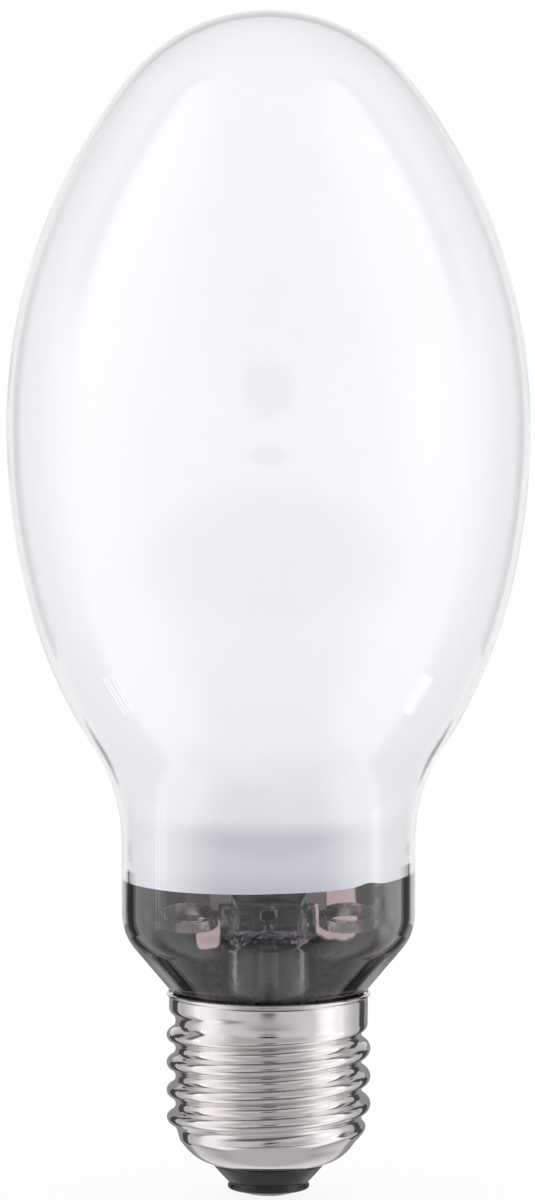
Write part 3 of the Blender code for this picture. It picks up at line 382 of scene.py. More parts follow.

# Coating: it thins between the heights of each step by a share; painted light at the sides lessens this,
# as a thin coat looks whiter at a slant
COATING_LIGHT = (0.945, 0.937, 0.985)
COATING_DEEP = (0.35, 0.34, 0.4)
COATING_STEPS = (((52.0, 64.0), 0.25), ((48.6, 52.4), 0.35), ((42.0, 45.5), 0.15))
PAINTED_SIDE_LIGHT_RANGE = (5.0, 17.0)
PAINTED_SIDE_LIGHT_SHARE = 0.65
COATING_CLOUD_SHARES = (-0.02, 0.02)
COATING_ROUGHNESS = 0.85
COATING_SHINE = 0.2
POWDER_RELIEF = 0.02

# Getter film: its metal on the left, on the right, low down and behind, and its clear and thin tints
FILM_METAL = (0.3, 0.29, 0.295)
FILM_METAL_RIGHT = (0.5, 0.485, 0.49)
FILM_METAL_LOW = (0.5, 0.485, 0.49)
FILM_METAL_BEHIND = (0.1, 0.095, 0.1)
# Colour of the dark specks, and of the painted shade seen through the exhaust hole
FILM_SPECK_AND_SHADE = (0.02, 0.02, 0.02)
FILM_CLEAR = (0.97, 0.96, 0.96)
FILM_TINT = (0.69, 0.6, 0.605)
FILM_ROUGHNESS = 0.04

# Where the film changes: across it, from front to back, or up it
FILM_SIDE = (13.4, 16.8)
FILM_RIGHT = (0.0, 10.0)
FILM_BEHIND = (-2.0, 3.0)
FILM_IN_FRONT = (2.0, 6.0)
FILM_LOW = (32.0, 37.0)
FILM_SPECKLED = (28.0, 31.5)
FILM_SPECK_EDGE = (0.5, 0.6)
FILM_RAG_RANGE = (0.25, 0.75)
FILM_RAG_DEPTH = 0.7

# Thin places behind, and one patch of painted shade behind where the view through the exhaust hole lands:
# centre in x and z, half width and half height; the thin places also have the share of metal that is
# missing
FILM_WINDOWS = ((-8.0, 32.0, 1.6, 2.3, 1.0), (-8.9, 36.5, 2.3, 3.0, 0.35), (8.9, 35.2, 2.9, 4.2, 1.0))
FILM_WINDOW_EDGE = (0.6, 1.3)
FILM_WINDOW_POWER = 4.0
FILM_WINDOW_RAGGED = 0.3
FILM_HOLE_SHADE = (-0.3, 34.3, 1.5, 0.8)
FILM_HOLE_SHADE_EDGE = (0.8, 1.2)
FILM_HOLE_SHADE_POWER = 2.0

# Ends of a ramp
RISING = (0.0, 1.0)
FALLING = (1.0, 0.0)
BOTH_WAYS = (-1.0, 1.0)

WHITE = (1.0, 1.0, 1.0)


# Meshes


def smoothstep(low, high, value):
    t = min(max((value - low) / (high - low), 0.0), 1.0)
    return t * t * (3.0 - 2.0 * t)


def even_steps(first, last, count):
    """Both ends and the values between them, count steps in all."""
    return [first + (last - first) * i / count for i in range(count + 1)]


def linked(name, data):
    """An object for the data, in the scene."""
    obj = bpy.data.objects.new(name, data)
    bpy.context.scene.collection.objects.link(obj)
    return obj


def mesh_object(name, work):
    """A smooth object from the faces in work."""
    mesh = bpy.data.meshes.new(name)
    work.to_mesh(mesh)
    work.free()
    mesh.shade_smooth()
    mesh.set_sharp_from_angle(angle=SMOOTH_ANGLE)
    return linked(name, mesh)


def add_object(name, verts, faces):
    """Makes a mesh from points in millimetres, its faces turned outwards."""
    work = bmesh.new()
    corners = [work.verts.new(Vector(v) * MM) for v in verts]
    for face in faces:
        work.faces.new([corners[i] for i in face])
    bmesh.ops.recalc_face_normals(work, faces=work.faces)
    return mesh_object(name, work)


def skin(name, rows, around=True, along=False):
    """Joins rows of points into quads: closed around each row, and along the rows when asked."""
    count = len(rows[0])
    verts = []
    index = []
    for row in rows:
        if all((Vector(p) - Vector(row[0])).length < WELD for p in row):
            index.append([len(verts)] * count)
            verts.append(row[0])
        else:
            index.append(list(range(len(verts), len(verts) + count)))
            verts.extend(row)
    pairs = list(zip(index, index[1:]))
    if along:
        pairs.append((index[-1], index[0]))
    faces = []
    for lower, upper in pairs:
        for i in range(count if around else count - 1):
            j = (i + 1) % count
            corners = []
            for corner in (lower[i], lower[j], upper[j], upper[i]):
                if corner not in corners:
                    corners.append(corner)
            if len(corners) > 2:
                faces.append(corners)
    return add_object(name, verts, faces)


def ring(radius, height, segments):
    """One row of points round the axis; radius and height may be functions of the angle."""
    row = []
    for i in range(segments):
        angle = FULL_TURN * i / segments
        r = radius(angle) if callable(radius) else radius
        z = height(angle) if callable(height) else height
        row.append((r * math.cos(angle), r * math.sin(angle), z))
    return row


def softened(line, size, steps=CORNER_STEPS):
    """Rounds the corners of an open line of points."""
    soft = [Vector(line[0])]
    for before, corner, after in zip(line, line[1:], line[2:]):
        here = Vector(corner)
        back = Vector(before) - here
        on = Vector(after) - here
        start = here + back.normalized() * min(size, back.length * CORNER_SHARE)
        end = here + on.normalized() * min(size, on.length * CORNER_SHARE)
        for i in range(steps + 1):
            t = i / steps
            soft.append(start * (1.0 - t) ** 2 + here * 2.0 * t * (1.0 - t) + end * t**2)
    soft.append(Vector(line[-1]))
    return soft


def turned(name, outline, segments, along=False):
    """Turns (radius, height) points about the axis."""
    return skin(name, [ring(r, z, segments) for r, z in outline], along=along)


def closed_turned(name, outline, size):
    """Turns a closed outline, its corners rounded; the outline's first point stays sharp."""
    return turned(name, softened(outline + [outline[0]], size)[:-1], FOOT_SEGMENTS, along=True)


def finish_piece(obj, slot, *nodes):
    """Puts a piece on the lamp's body in place of the named solids."""
    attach(obj, BODY)
    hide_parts(*nodes)
    return obj


# Outline of the bulb


def arc_run(start, radius, first, last, steps, side):
    """Points (radius, height, slope) on an arc going up from start; side is -1 in a hollow."""
    points = []
    for slope in even_steps(first, last, steps)[1:]:
        r = start[0] + side * radius * (math.cos(slope) - math.cos(first))
        z = start[1] + side * radius * (math.sin(slope) - math.sin(first))
        points.append((r, z, slope))
    return points


def cone_height_at(radius):
    return CAP_HEIGHT + (radius - CONE_RADIUS_AT_LIP) / math.tan(CONE_ANGLE)


SHOULDER_START = NECK_RADIUS - SHOULDER_RADIUS * (1.0 - math.cos(CONE_ANGLE))
NECK_FOOT_HEIGHT = cone_height_at(SHOULDER_START) + SHOULDER_RADIUS * math.sin(CONE_ANGLE)
NECK_TOP_HEIGHT = NECK_FOOT_HEIGHT + NECK_LENGTH
NECK_TOP_MARGIN = 0.01


def bulb_curve():
    """The bulb's outer line from its mouth to the top of the dome, as (radius, height, slope)."""
    tuck = MOUTH_FILLET_RADIUS * math.tan(CONE_ANGLE / 2.0)
    curve = [(MOUTH_RADIUS, MOUTH_HEIGHT, 0.0)]
    curve.append((MOUTH_RADIUS, cone_height_at(MOUTH_RADIUS) - tuck, 0.0))
    curve += arc_run(curve[-1], MOUTH_FILLET_RADIUS, 0.0, -CONE_ANGLE, ARC_STEPS, -1)
    curve.append((SHOULDER_START, cone_height_at(SHOULDER_START), -CONE_ANGLE))
    curve += arc_run(curve[-1], SHOULDER_RADIUS, -CONE_ANGLE, 0.0, ARC_STEPS, 1)
    curve.append((NECK_RADIUS, NECK_TOP_HEIGHT, 0.0))
    spread = BULB_RADIUS - NECK_RADIUS - LOWER_SIDE_RADIUS * (1.0 - math.cos(LOWER_SIDE_ANGLE))
    reach = NECK_FILLET_RADIUS + TAPER_RADIUS * math.cos(LOWER_SIDE_ANGLE) - spread
    taper_angle = math.acos(reach / (NECK_FILLET_RADIUS + TAPER_RADIUS))
    curve += arc_run(curve[-1], NECK_FILLET_RADIUS, 0.0, -taper_angle, ARC_STEPS, -1)
    curve += arc_run(curve[-1], TAPER_RADIUS, -taper_angle, -LOWER_SIDE_ANGLE, ARC_STEPS, 1)
    curve += arc_run(curve[-1], LOWER_SIDE_RADIUS, -LOWER_SIDE_ANGLE, 0.0, ARC_STEPS, 1)
    dome_angle = math.acos((UPPER_SIDE_RADIUS - BULB_RADIUS) / (UPPER_SIDE_RADIUS - DOME_RADIUS))
    curve += arc_run(curve[-1], UPPER_SIDE_RADIUS, 0.0, dome_angle, ARC_STEPS * 2, 1)
    curve += arc_run(curve[-1], DOME_RADIUS, dome_angle, RIGHT_ANGLE, ARC_STEPS * 2, 1)
    return curve


CURVE = bulb_curve()


def inset_line(curve, depth):
    """The curve moved inwards along its normals, as (radius, height)."""
    line = [(r - depth * math.cos(slope), z - depth * math.sin(slope)) for r, z, slope in curve]
    if curve[-1][0] < WELD:
        line[-1] = (0.0, line[-1][1])
    return line


def add_glass_bulb():
    outer = inset_line(CURVE, 0.0)
    inner = inset_line(CURVE, GLASS_WALL)
    inner[0] = (inner[0][0], MOUTH_HEIGHT)
    obj = turned("glass_bulb", list(reversed(outer)) + inner, BULB_SEGMENTS)
    return finish_piece(obj, "clear_glass", "outer_bulb")


def edge_height(angle):
    """Height of the coating's lower edge: slightly tilted, with one run in the powder."""
    away = (angle - EDGE_BUMP_ANGLE + math.pi) % FULL_TURN - math.pi
    run = EDGE_BUMP_HEIGHT * math.exp(-((away / EDGE_BUMP_WIDTH) ** 2))
    place = (math.cos(angle) * EDGE_WANDER_RATE, math.sin(angle) * EDGE_WANDER_RATE, EDGE_WANDER_PLACE)
    return EDGE_HEIGHT + EDGE_TILT * math.cos(angle) + run + EDGE_WANDER * noise.noise(Vector(place))


def edge_rows(radius, height, below_edge, shares):
    """Rows on the neck at shares of the way from the coating's edge to a height."""
    rows = []
    for share in shares:

        def at_share(angle, share=share):
            edge = edge_height(angle) - below_edge
            return edge + (height - edge) * share

        rows.append(ring(radius, at_share, BULB_SEGMENTS))
    return rows


def add_coating():
    """The powder layer: an inner and an outer skin that meet at the wavy lower edge."""
    above = [point for point in CURVE if point[1] > NECK_TOP_HEIGHT - NECK_TOP_MARGIN]
    shares = [i / COATING_EDGE_ROWS for i in range(COATING_EDGE_ROWS)]
    sides = []
    for depth in (GLASS_WALL + COATING_GAP, GLASS_WALL + COATING_GAP + COATING_THICKNESS):
        rows = edge_rows(NECK_RADIUS - depth, NECK_TOP_HEIGHT, 0.0, shares)
        sides.append(rows + [ring(r, z, BULB_SEGMENTS) for r, z in inset_line(above, depth)])
    outer, inner = sides
    obj = skin("coating_layer", list(reversed(outer)) + inner)
    return finish_piece(obj, "white_coating", "diffusing_coating")


def add_getter_film():
    """A mirror of evaporated getter metal on the inside of the neck, from the coating to the cone."""
    foot = cone_height_at(FILM_FOOT_RADIUS)
    limit = NECK_TOP_HEIGHT - NECK_TOP_MARGIN
    below = [point for point in CURVE if foot < point[1] < limit and point[0] > FILM_FOOT_RADIUS]
    cone_top = below[0]
    cone = []
    for i in range(FILM_CONE_ROWS):
        share = i / FILM_CONE_ROWS
        r = FILM_FOOT_RADIUS + (cone_top[0] - FILM_FOOT_RADIUS) * share
        cone.append((r, foot + (cone_top[1] - foot) * share, -CONE_ANGLE))
    shares = [1.0 - i / FILM_EDGE_ROWS for i in range(1, FILM_EDGE_ROWS + 1)]
    sides = []
    for depth in (GLASS_WALL - FILM_IN_GLASS, GLASS_WALL - FILM_IN_GLASS + FILM_THICKNESS):
        line = inset_line(cone + below, depth)
        rows = [ring(r, z, BULB_SEGMENTS) for r, z in line]
        sides.append(rows + edge_rows(line[-1][0], line[-1][1], FILM_BELOW_EDGE, shares))
    outer, inner = sides
    obj = skin("getter_film", list(reversed(outer)) + inner, along=True)
    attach(obj, BODY)
    return obj


# Cap


def thread_wave(turns):
    """Height of the rolled thread between 0 in its root and 1 on its crest, from two tangent arcs."""
    depth = CREST_RADIUS - ROOT_RADIUS
    half_pitch = THREAD_PITCH / 2.0
    flank = 2.0 * math.atan2(depth, half_pitch)
    root_rounding = half_pitch / math.sin(flank) - CREST_ROUNDING
    along = abs(turns - round(turns)) * THREAD_PITCH
    if along < CREST_ROUNDING * math.sin(flank):
        drop = CREST_ROUNDING - math.sqrt(CREST_ROUNDING**2 - along**2)
        return 1.0 - drop / depth
    rest = half_pitch - along
    return (root_rounding - math.sqrt(max(root_rounding**2 - rest**2, 0.0))) / depth


def bowl_radius_at(height):
    drop = min(max(BOWL_HEIGHT - height, 0.0), BOWL_RADIUS)
    return BOWL_OFFSET + math.sqrt(BOWL_RADIUS**2 - drop**2)


def shell_radius_at(height, angle):
    """Outer radius of the threaded part of the shell."""
    turns = (height - CREST_HEIGHT) / THREAD_PITCH - angle / FULL_TURN
    root_height = height + (math.floor(turns) + 0.5 - turns) * THREAD_PITCH
    groove = 1.0 - smoothstep(RUN_IN, RUN_IN + RUN_IN_LENGTH, root_height)
    to_skirt = smoothstep(RUN_IN - THREAD_PITCH / 2.0, RUN_IN, height)
    crest = CREST_RADIUS + (SKIRT_RADIUS - CREST_RADIUS) * to_skirt
    fade = smoothstep(RUN_OUT, RUN_OUT + RUN_OUT_LENGTH, height)
    depth = (crest - ROOT_RADIUS) * fade
    bulge = SKIRT_BULGE * max(1.0 - ((height - SKIRT_MIDDLE) / SKIRT_HALF) ** 2, 0.0)
    return bowl_radius_at(height) + bulge + depth * (1.0 - groove * (1.0 - thread_wave(turns)))


def shell_row(height, depth, lift):
    """A row of the threaded sheet, moved in by a depth and up by a lift."""

    def radius(angle):
        return shell_radius_at(height, angle) - depth

    return ring(radius, height + lift, CAP_SEGMENTS)


def bowl_heights():
    """Heights up the rounded bottom of the shell, closer together near its mouth."""
    angles = even_steps(BOWL_MOUTH_ANGLE, 0.0, BOWL_STEPS)
    heights = [BOWL_HEIGHT - BOWL_RADIUS * math.sin(angle) for angle in angles]
    return [height for height in heights if height < RUN_OUT]


def lip_profile():
    """The small rolled lip at the top of the skirt, as (radius, height)."""
    points = [(SKIRT_RADIUS, CAP_HEIGHT - LIP_DEPTH * LIP_FIRST_ROW)]
    half = LIP_DEPTH / 2.0
    for angle in even_steps(-RIGHT_ANGLE, RIGHT_ANGLE, LIP_STEPS):
        radius = LIP_RADIUS - half + half * math.cos(angle)
        points.append((radius, CAP_HEIGHT - half + half * math.sin(angle)))
    points.append((LIP_RADIUS - SHEET, CAP_HEIGHT))
    points.append((LIP_RADIUS - SHEET, CAP_HEIGHT - LIP_DEPTH))
    return points


def add_cap_shell():
    """The rolled sheet: its outer face with the helical thread, the lip, and the inner face."""
    heights = bowl_heights()
    start = heights[-1]
    top = CAP_HEIGHT - LIP_DEPTH * SKIRT_LAST_ROW
    heights += even_steps(start, top, math.ceil((top - start) / THREAD_ROW))[1:]
    outer = []
    inner = []
    for height in heights:
        outer.append(shell_row(height, 0.0, 0.0))
        if not inner or height - inner[-1][0][2] > INNER_ROW or height == top:
            inner.append(shell_row(height, SHEET, INNER_ROW_LIFT))
    lip = [ring(r, z, CAP_SEGMENTS) for r, z in lip_profile()]
    obj = skin("screw_shell", outer + lip + list(reversed(inner)), along=True)
    return finish_piece(obj, "nickel_plate", "cap_shell")


# Foot of the cap


def contact_underside(radius):
    """Height of the dished contact plate's underside."""
    rim = 1.0 - (CONTACT_HOLE_RADIUS / CONTACT_RADIUS) ** 2
    here = 1.0 - (radius / CONTACT_RADIUS) ** 2
    return CONTACT_ABOVE_TIP + CONTACT_DROP * (rim - here)


def add_cap_insulator():
    """Black glass from inside the shell's bowl down to the boss that holds the contact."""
    inside = BOWL_RADIUS - SHEET - SEAT
    throat = BOWL_MOUTH_RADIUS - SEAT
    low_angle = math.acos((throat - BOWL_OFFSET) / inside)
    high_angle = math.asin((BOWL_HEIGHT - INSULATOR_TOP_HEIGHT) / inside)
    brim = BOWL_OFFSET + inside * math.cos(high_angle) - INSULATOR_TOP_WALL
    outline = [(INSULATOR_BORE_RADIUS, INSULATOR_TOP_HEIGHT - INSULATOR_TOP_DISH)]
    outline.append((brim, INSULATOR_TOP_HEIGHT))
    for angle in even_steps(high_angle, low_angle, ARC_STEPS):
        radius = BOWL_OFFSET + inside * math.cos(angle)
        outline.append((radius, BOWL_HEIGHT - inside * math.sin(angle)))
    rim = contact_underside(CONTACT_RADIUS) + CONTACT_THICKNESS
    boss_bottom = rim - CONTACT_RECESS
    waist = boss_bottom + BOSS_HEIGHT
    outline += [
        (throat, BOWL_HEIGHT - BOWL_RADIUS * math.sin(BOWL_MOUTH_ANGLE) - SHEET),
        (WAIST_RADIUS + WAIST_FLARE, waist + WAIST_FLARE),
        (WAIST_RADIUS, waist),
        (BOSS_RADIUS, waist - SEAT),
        (BOSS_RADIUS, boss_bottom + SEAT),
        (CONTACT_RADIUS + SEAT, boss_bottom),
        (CONTACT_RADIUS + SEAT, rim + SEAT),
        (INSULATOR_BORE_RADIUS, rim + SEAT),
    ]
    obj = closed_turned("moulded_insulator", outline, INSULATOR_ROUNDING)
    return finish_piece(obj, "black_glass", "cap_insulator")


def add_contact_plate():
    radii = even_steps(CONTACT_RADIUS, CONTACT_HOLE_RADIUS, ARC_STEPS)
    under = [(radius, contact_underside(radius)) for radius in radii]
    over = [(radius, height + CONTACT_THICKNESS) for radius, height in reversed(under)]
    obj = closed_turned("contact_plate", under + over, CONTACT_ROUNDING)
    return finish_piece(obj, "contact_plate", "centre_contact")


def add_pip():
    """The solder in the contact plate's hole, with a flat tip."""
    outline = [(0.0, SOLDER_HEIGHT), (SOLDER_RADIUS, SOLDER_HEIGHT), (SOLDER_FLAT_RADIUS, 0.0), (0.0, 0.0)]
    obj = turned("solder_pip", softened(outline, SOLDER_ROUNDING), SMALL_SEGMENTS)
    return finish_piece(obj, "solder", "centre_solder")


def add_side_drop():
    """Solder on the back of the skirt, over the end of the side wire."""
    outline = []
    for angle in even_steps(0.0, RIGHT_ANGLE, ARC_STEPS):
        outline.append((SIDE_SOLDER_RADIUS * math.sin(angle), SIDE_SOLDER_HEIGHT * math.cos(angle)))
    outline.append((0.0, 0.0))
    obj = turned("side_solder_drop", outline, SMALL_SEGMENTS)
    for vertex in obj.data.vertices:
        x, y, z = vertex.co / MM
        uneven = 1.0 + SIDE_SOLDER_WOBBLE * noise.noise(Vector((x, y, z)))
        vertex.co = Vector((x * uneven, SKIRT_RADIUS + SEAT + z, SIDE_HOLE_HEIGHT - y * uneven)) * MM
    return finish_piece(obj, "solder", "shell_solder")


def add_cement_ring():
    top = CAP_HEIGHT - CEMENT_TOP_BELOW_LIP
    foot = top - CEMENT_HEIGHT
    outside = SKIRT_RADIUS - SHEET - SEAT
    beside_cone = SEAT / math.cos(CONE_ANGLE)
    mouth = MOUTH_RADIUS + SEAT
    cone_radius = CONE_RADIUS_AT_LIP + (top - CAP_HEIGHT) * math.tan(CONE_ANGLE)
    outline = [
        (outside, top),
        (outside, foot + CEMENT_CHAMFER_HEIGHT),
        ((mouth + outside) / 2.0, foot),
        (mouth, foot),
        (mouth, cone_height_at(MOUTH_RADIUS) - beside_cone),
        (min(cone_radius + beside_cone, outside - SEAT), top),
    ]
    obj = turned("cement_ring", outline, FOOT_SEGMENTS, along=True)
    return finish_piece(obj, "cement", "capping_cement")


# Stem


def oval(height, half_x, half_y, power):
    """A row round an oval; a power below 1 squares it up."""
    row = []
    for c, s, z in ring(1.0, height, STEM_SEGMENTS):
        x = half_x * math.copysign(abs(c) ** power, c)
        y = half_y * math.copysign(abs(s) ** power, s)
        row.append((x, y, z))
    return row


def steps_between(stops, steps):
    """Points eased between (height, half_x, half_y, power) stops."""
    points = [stops[0]]
    for before, after in zip(stops, stops[1:]):
        for i in range(1, steps + 1):
            eased = smoothstep(0, steps, i)
            height = before[0] + (after[0] - before[0]) * i / steps
            points.append((height, *(a + (b - a) * eased for a, b in zip(before[1:], after[1:]))))
    return points


def crumpled(row, strength):
    """Pushes the points of a row in and out like pinched glass."""
    moved = []
    for x, y, z in row:
        here = Vector((x, y, z)) * CRUMPLE_RATES
        push = CRUMPLE_COARSE * noise.noise(here) + CRUMPLE_FINE * noise.noise(here * CRUMPLE_FINE_RATE)
        squeezed = y + math.copysign(push, y) * CRUMPLE_DEPTH * strength
        moved.append((x * (1.0 - abs(push) * CRUMPLE_NARROWING * strength), squeezed, z))
    return moved


def cut_rod(obj, start, end, radius):
    """Bores a round hole."""
    turn = (Vector(end) - Vector(start)).to_track_quat("Z", "Y").to_matrix()
    rows = []
    for place, reach in ((start, 0.0), (start, radius), (end, radius), (end, 0.0)):
        points = ring(reach, 0.0, BORE_SEGMENTS)
        rows.append([Vector(place) + turn @ Vector(point) for point in points])
    cutter = skin("cutter", rows)
    change = obj.modifiers.new("bore", "BOOLEAN")
    change.operation = "DIFFERENCE"
    change.solver = "EXACT"
    change.object = cutter
    bpy.context.view_layer.objects.active = obj
    with bpy.context.temp_override(object=obj, active_object=obj, selected_objects=[obj]):
        bpy.ops.object.modifier_apply(modifier=change.name)
    bpy.data.objects.remove(cutter, do_unlink=True)


def stem_rows():
    """The stem's skin: down the pinch and the tube to the flare, and back up its bore."""
    base = PINCH_TOP - PINCH_LENGTH
    roof = PINCH_TOP - ROOF_THICKNESS
    bore = STEM_RADIUS - STEM_WALL
    flare = MOUTH_RADIUS - STEM_RADIUS
    flare_top = MOUTH_HEIGHT - SEAT + flare
    tube_top = base - STEM_DRAWN_LENGTH
    half = PINCH_HALF_THICKNESS
    outer_stops = [
        (PINCH_TOP, STEM_RADIUS - 2.0 * PINCH_EDGE, half - 1.5 * PINCH_EDGE, PINCH_TOP_POWER),
        (PINCH_TOP - PINCH_EDGE, STEM_RADIUS - PINCH_NARROWING, half, PINCH_TOP_POWER),
        (roof + STEM_WALL, STEM_RADIUS, half + PINCH_SWELL, PINCH_ROOF_POWER),
        (base, STEM_RADIUS, (STEM_RADIUS + half) / 2.0, PINCH_BASE_POWER),
        (tube_top, STEM_RADIUS, STEM_RADIUS, 1.0),
    ]
    inner_stops = [
        (tube_top, bore, bore, 1.0),
        (base, bore, (bore + half) / 2.0 - SEAT, 1.0),
        (roof, LEAD_OFFSET + LEAD_RADIUS + SEAT + WIRE_SLACK, TUBE_RADIUS + SEAT, 1.0),
    ]
    rows = [[(0.0, 0.0, PINCH_TOP)] * STEM_SEGMENTS]
    for stop in steps_between(outer_stops, PINCH_STEPS):
        rows.append(crumpled(oval(*stop), smoothstep(tube_top, base + CRUMPLE_FADE, stop[0])))
    for reach, first, last in ((flare, 0.0, RIGHT_ANGLE), (flare + STEM_WALL, RIGHT_ANGLE, 0.0)):
        for angle in even_steps(first, last, ARC_STEPS):
            radius = MOUTH_RADIUS - reach * math.cos(angle)
            rows.append(ring(radius, flare_top - reach * math.sin(angle), STEM_SEGMENTS))
    rows += [oval(*stop) for stop in steps_between(inner_stops, STEM_BORE_STEPS)]
    rows.append([(0.0, 0.0, roof)] * STEM_SEGMENTS)
    return rows


def add_stem_tube():
    """A flared tube drawn in to a flat, crumpled pinch with the exhaust hole and the wires' holes."""
    obj = skin("pinched_stem", stem_rows())
    hole = PINCH_TOP - EXHAUST_HOLE_BELOW_TOP
    below_roof = PINCH_TOP - ROOF_THICKNESS - STEM_WALL
    cut_rod(obj, (0.0, -STEM_RADIUS, hole), (0.0, STEM_RADIUS, hole), EXHAUST_HOLE_RADIUS)
    cut_rod(obj, (0.0, 0.0, below_roof), (0.0, 0.0, hole), EXHAUST_BORE_RADIUS)
    for x in (-LEAD_OFFSET, LEAD_OFFSET):
        cut_rod(obj, (x, 0.0, below_roof), (x, 0.0, PINCH_TOP + STEM_WALL), LEAD_RADIUS + SEAT)
    return finish_piece(obj, "stem_glass", "stem_glass")


def add_pumping_tube():
    top = PINCH_TOP - ROOF_THICKNESS - SEAT
    bore = TUBE_RADIUS - TUBE_WALL
    neck = TUBE_TIP_HEIGHT + TUBE_TIP_LENGTH
    outline = [
        (0.0, TUBE_TIP_HEIGHT),
        (TUBE_WALL, TUBE_TIP_HEIGHT + TUBE_WALL / 2.0),
        (TUBE_RADIUS, neck),
        (TUBE_RADIUS, top),
        (bore, top),
        (bore, neck),
        (0.0, TUBE_TIP_HEIGHT + TUBE_TIP_LENGTH / 2.0),
    ]
    obj = turned("pumping_tube", softened(outline, TUBE_ROUNDING), SMALL_SEGMENTS)
    return finish_piece(obj, "stem_glass", "exhaust_tube")


# Wires, strips and getters


def add_wire(name, corners, node):
    """A round wire with flat ends along the rounded corners."""
    path = softened(corners, LEAD_BEND, BEND_STEPS)
    side = (path[1] - path[0]).orthogonal().normalized()
    rows = [[path[0]] * WIRE_SEGMENTS]
    for i, place in enumerate(path):
        ahead = path[min(i + 1, len(path) - 1)] - path[max(i - 1, 0)]
        ahead.normalize()
        side = (side - ahead * side.dot(ahead)).normalized()
        other = ahead.cross(side)
        points = ring(LEAD_RADIUS, 0.0, WIRE_SEGMENTS)
        rows.append([place + side * x + other * y for x, y, z in points])
    rows.append([path[-1]] * WIRE_SEGMENTS)
    return finish_piece(skin(name, rows), "wire", node)


def lead_top(side):
    leave = PINCH_TOP + SEAT
    return [
        (side * LEAD_SPREAD, 0.0, PINCH_TOP + LEAD_TOP_ABOVE_PINCH),
        (side * LEAD_SPREAD, 0.0, leave + LEAD_SPREAD - LEAD_OFFSET),
        (side * LEAD_OFFSET, 0.0, leave),
    ]


def add_leads():
    """The wire to the shell on the left and the wire to the centre contact on the right."""
    beside_mouth = MOUTH_RADIUS + SEAT + LEAD_RADIUS
    to_shell = lead_top(-1) + [
        (-LEAD_OFFSET, 0.0, LEAD_LOW_HEIGHT),
        (0.0, beside_mouth, LEAD_LOW_HEIGHT),
        (0.0, beside_mouth, SIDE_HOLE_HEIGHT),
        (0.0, SKIRT_RADIUS, SIDE_HOLE_HEIGHT),
    ]
    to_contact = lead_top(1) + [
        (LEAD_OFFSET, 0.0, LEAD_CENTRE_HEIGHT + LEAD_OFFSET),
        (0.0, 0.0, LEAD_CENTRE_HEIGHT),
        (0.0, 0.0, SOLDER_HEIGHT + SEAT),
    ]
    left = add_wire("shell_lead", to_shell, "lead_in_wire_left")
    right = add_wire("contact_lead", to_contact, "lead_in_wire_right")
    return [left, right]


def flat_bar(name, centre_x, centre_y, width, thickness, low, high):
    """An upright flat bar with softened edges."""
    work = bmesh.new()
    bmesh.ops.create_cube(work, size=1.0)
    for vertex in work.verts:
        x = centre_x + vertex.co.x * width
        y = centre_y + vertex.co.y * thickness
        z = (low + high) / 2.0 + vertex.co.z * (high - low)
        vertex.co = Vector((x, y, z)) * MM
    bmesh.ops.bevel(
        work,
        geom=work.edges[:],
        offset=thickness * BAR_EDGE_SHARE * MM,
        segments=BAR_EDGE_STEPS,
        profile=BAR_EDGE_PROFILE,
        affect="EDGES",
    )
    return mesh_object(name, work)


def add_strip(side, label):
    foot = PINCH_TOP + SEAT
    x = side * STRIP_OFFSET
    obj = flat_bar("strip_" + label, x, STRIP_PLANE, STRIP_WIDTH, STRIP_THICKNESS, foot, STRIP_TOP_HEIGHT)
    return finish_piece(obj, "strip_steel", "support_strip_" + label)


def add_getter(side, label):
    """A trough ring tipped to the front, and its tab beside the strip."""
    height = PINCH_TOP - GETTER_BELOW_PINCH_TOP
    outside = GETTER_RADIUS + GETTER_BAND / 2.0
    inside = GETTER_RADIUS - GETTER_BAND / 2.0
    half = GETTER_HEIGHT / 2.0
    outline = [
        (outside, -half),
        (outside, half),
        (outside - GETTER_WALL / 3.0, half),
        (GETTER_RADIUS, GETTER_WALL - half),
        (inside + GETTER_WALL / 3.0, half),
        (inside, half),
        (inside, -half),
    ]
    trough = closed_turned("getter_trough_" + label, outline, GETTER_ROUNDING)
    edge = STEM_RADIUS + SEAT + GETTER_BAND / 2.0
    centre = Vector((side * (edge + GETTER_RADIUS), 0.0, height)) * MM
    trough.data.transform(Matrix.Translation(centre) @ Matrix.Rotation(GETTER_TILT, 4, "X"))
    finish_piece(trough, "getter_steel", "getter_ring_" + label)
    plane = STRIP_PLANE + STRIP_THICKNESS / 2.0 + SEAT + HOLDER_THICKNESS / 2.0
    foot = height + half + SEAT
    top = foot + HOLDER_RISE
    tab = flat_bar("tab_" + label, side * edge, plane, HOLDER_WIDTH, HOLDER_THICKNESS, foot, top)
    finish_piece(tab, "strip_steel", "getter_holder_" + label)
    return trough, tab


# Lights, floor and camera


def add_floor():
    half = FLOOR_HALF
    corners = [(-half, -half, 0.0), (half, -half, 0.0), (half, half, 0.0), (-half, half, 0.0)]
    floor = add_object("floor", corners, [(0, 1, 2, 3)])
    floor.visible_glossy = False
    floor.visible_transmission = False
    return floor


def add_lamp(name, kind, place):
    """A lamp that neither the camera nor mirrors and glass show."""
    obj = linked(name, bpy.data.lights.new(name, kind))
    obj.location = Vector(place) * MM
    obj.visible_camera = False
    obj.visible_glossy = False
    obj.visible_transmission = False
    return obj


def add_softbox(name, place, width, height, radiance):
    """A rectangular lamp that gives the same brightness to the eye whatever its size."""
    obj = add_lamp(name, "AREA", place)
    obj.rotation_euler = (Vector(SOFTBOX_AIM) - Vector(place)).to_track_quat("-Z", "Y").to_euler()
    lamp = obj.data
    lamp.shape = "RECTANGLE"
    lamp.size = width * MM
    lamp.size_y = height * MM
    lamp.energy = radiance * math.pi * lamp.size * lamp.size_y


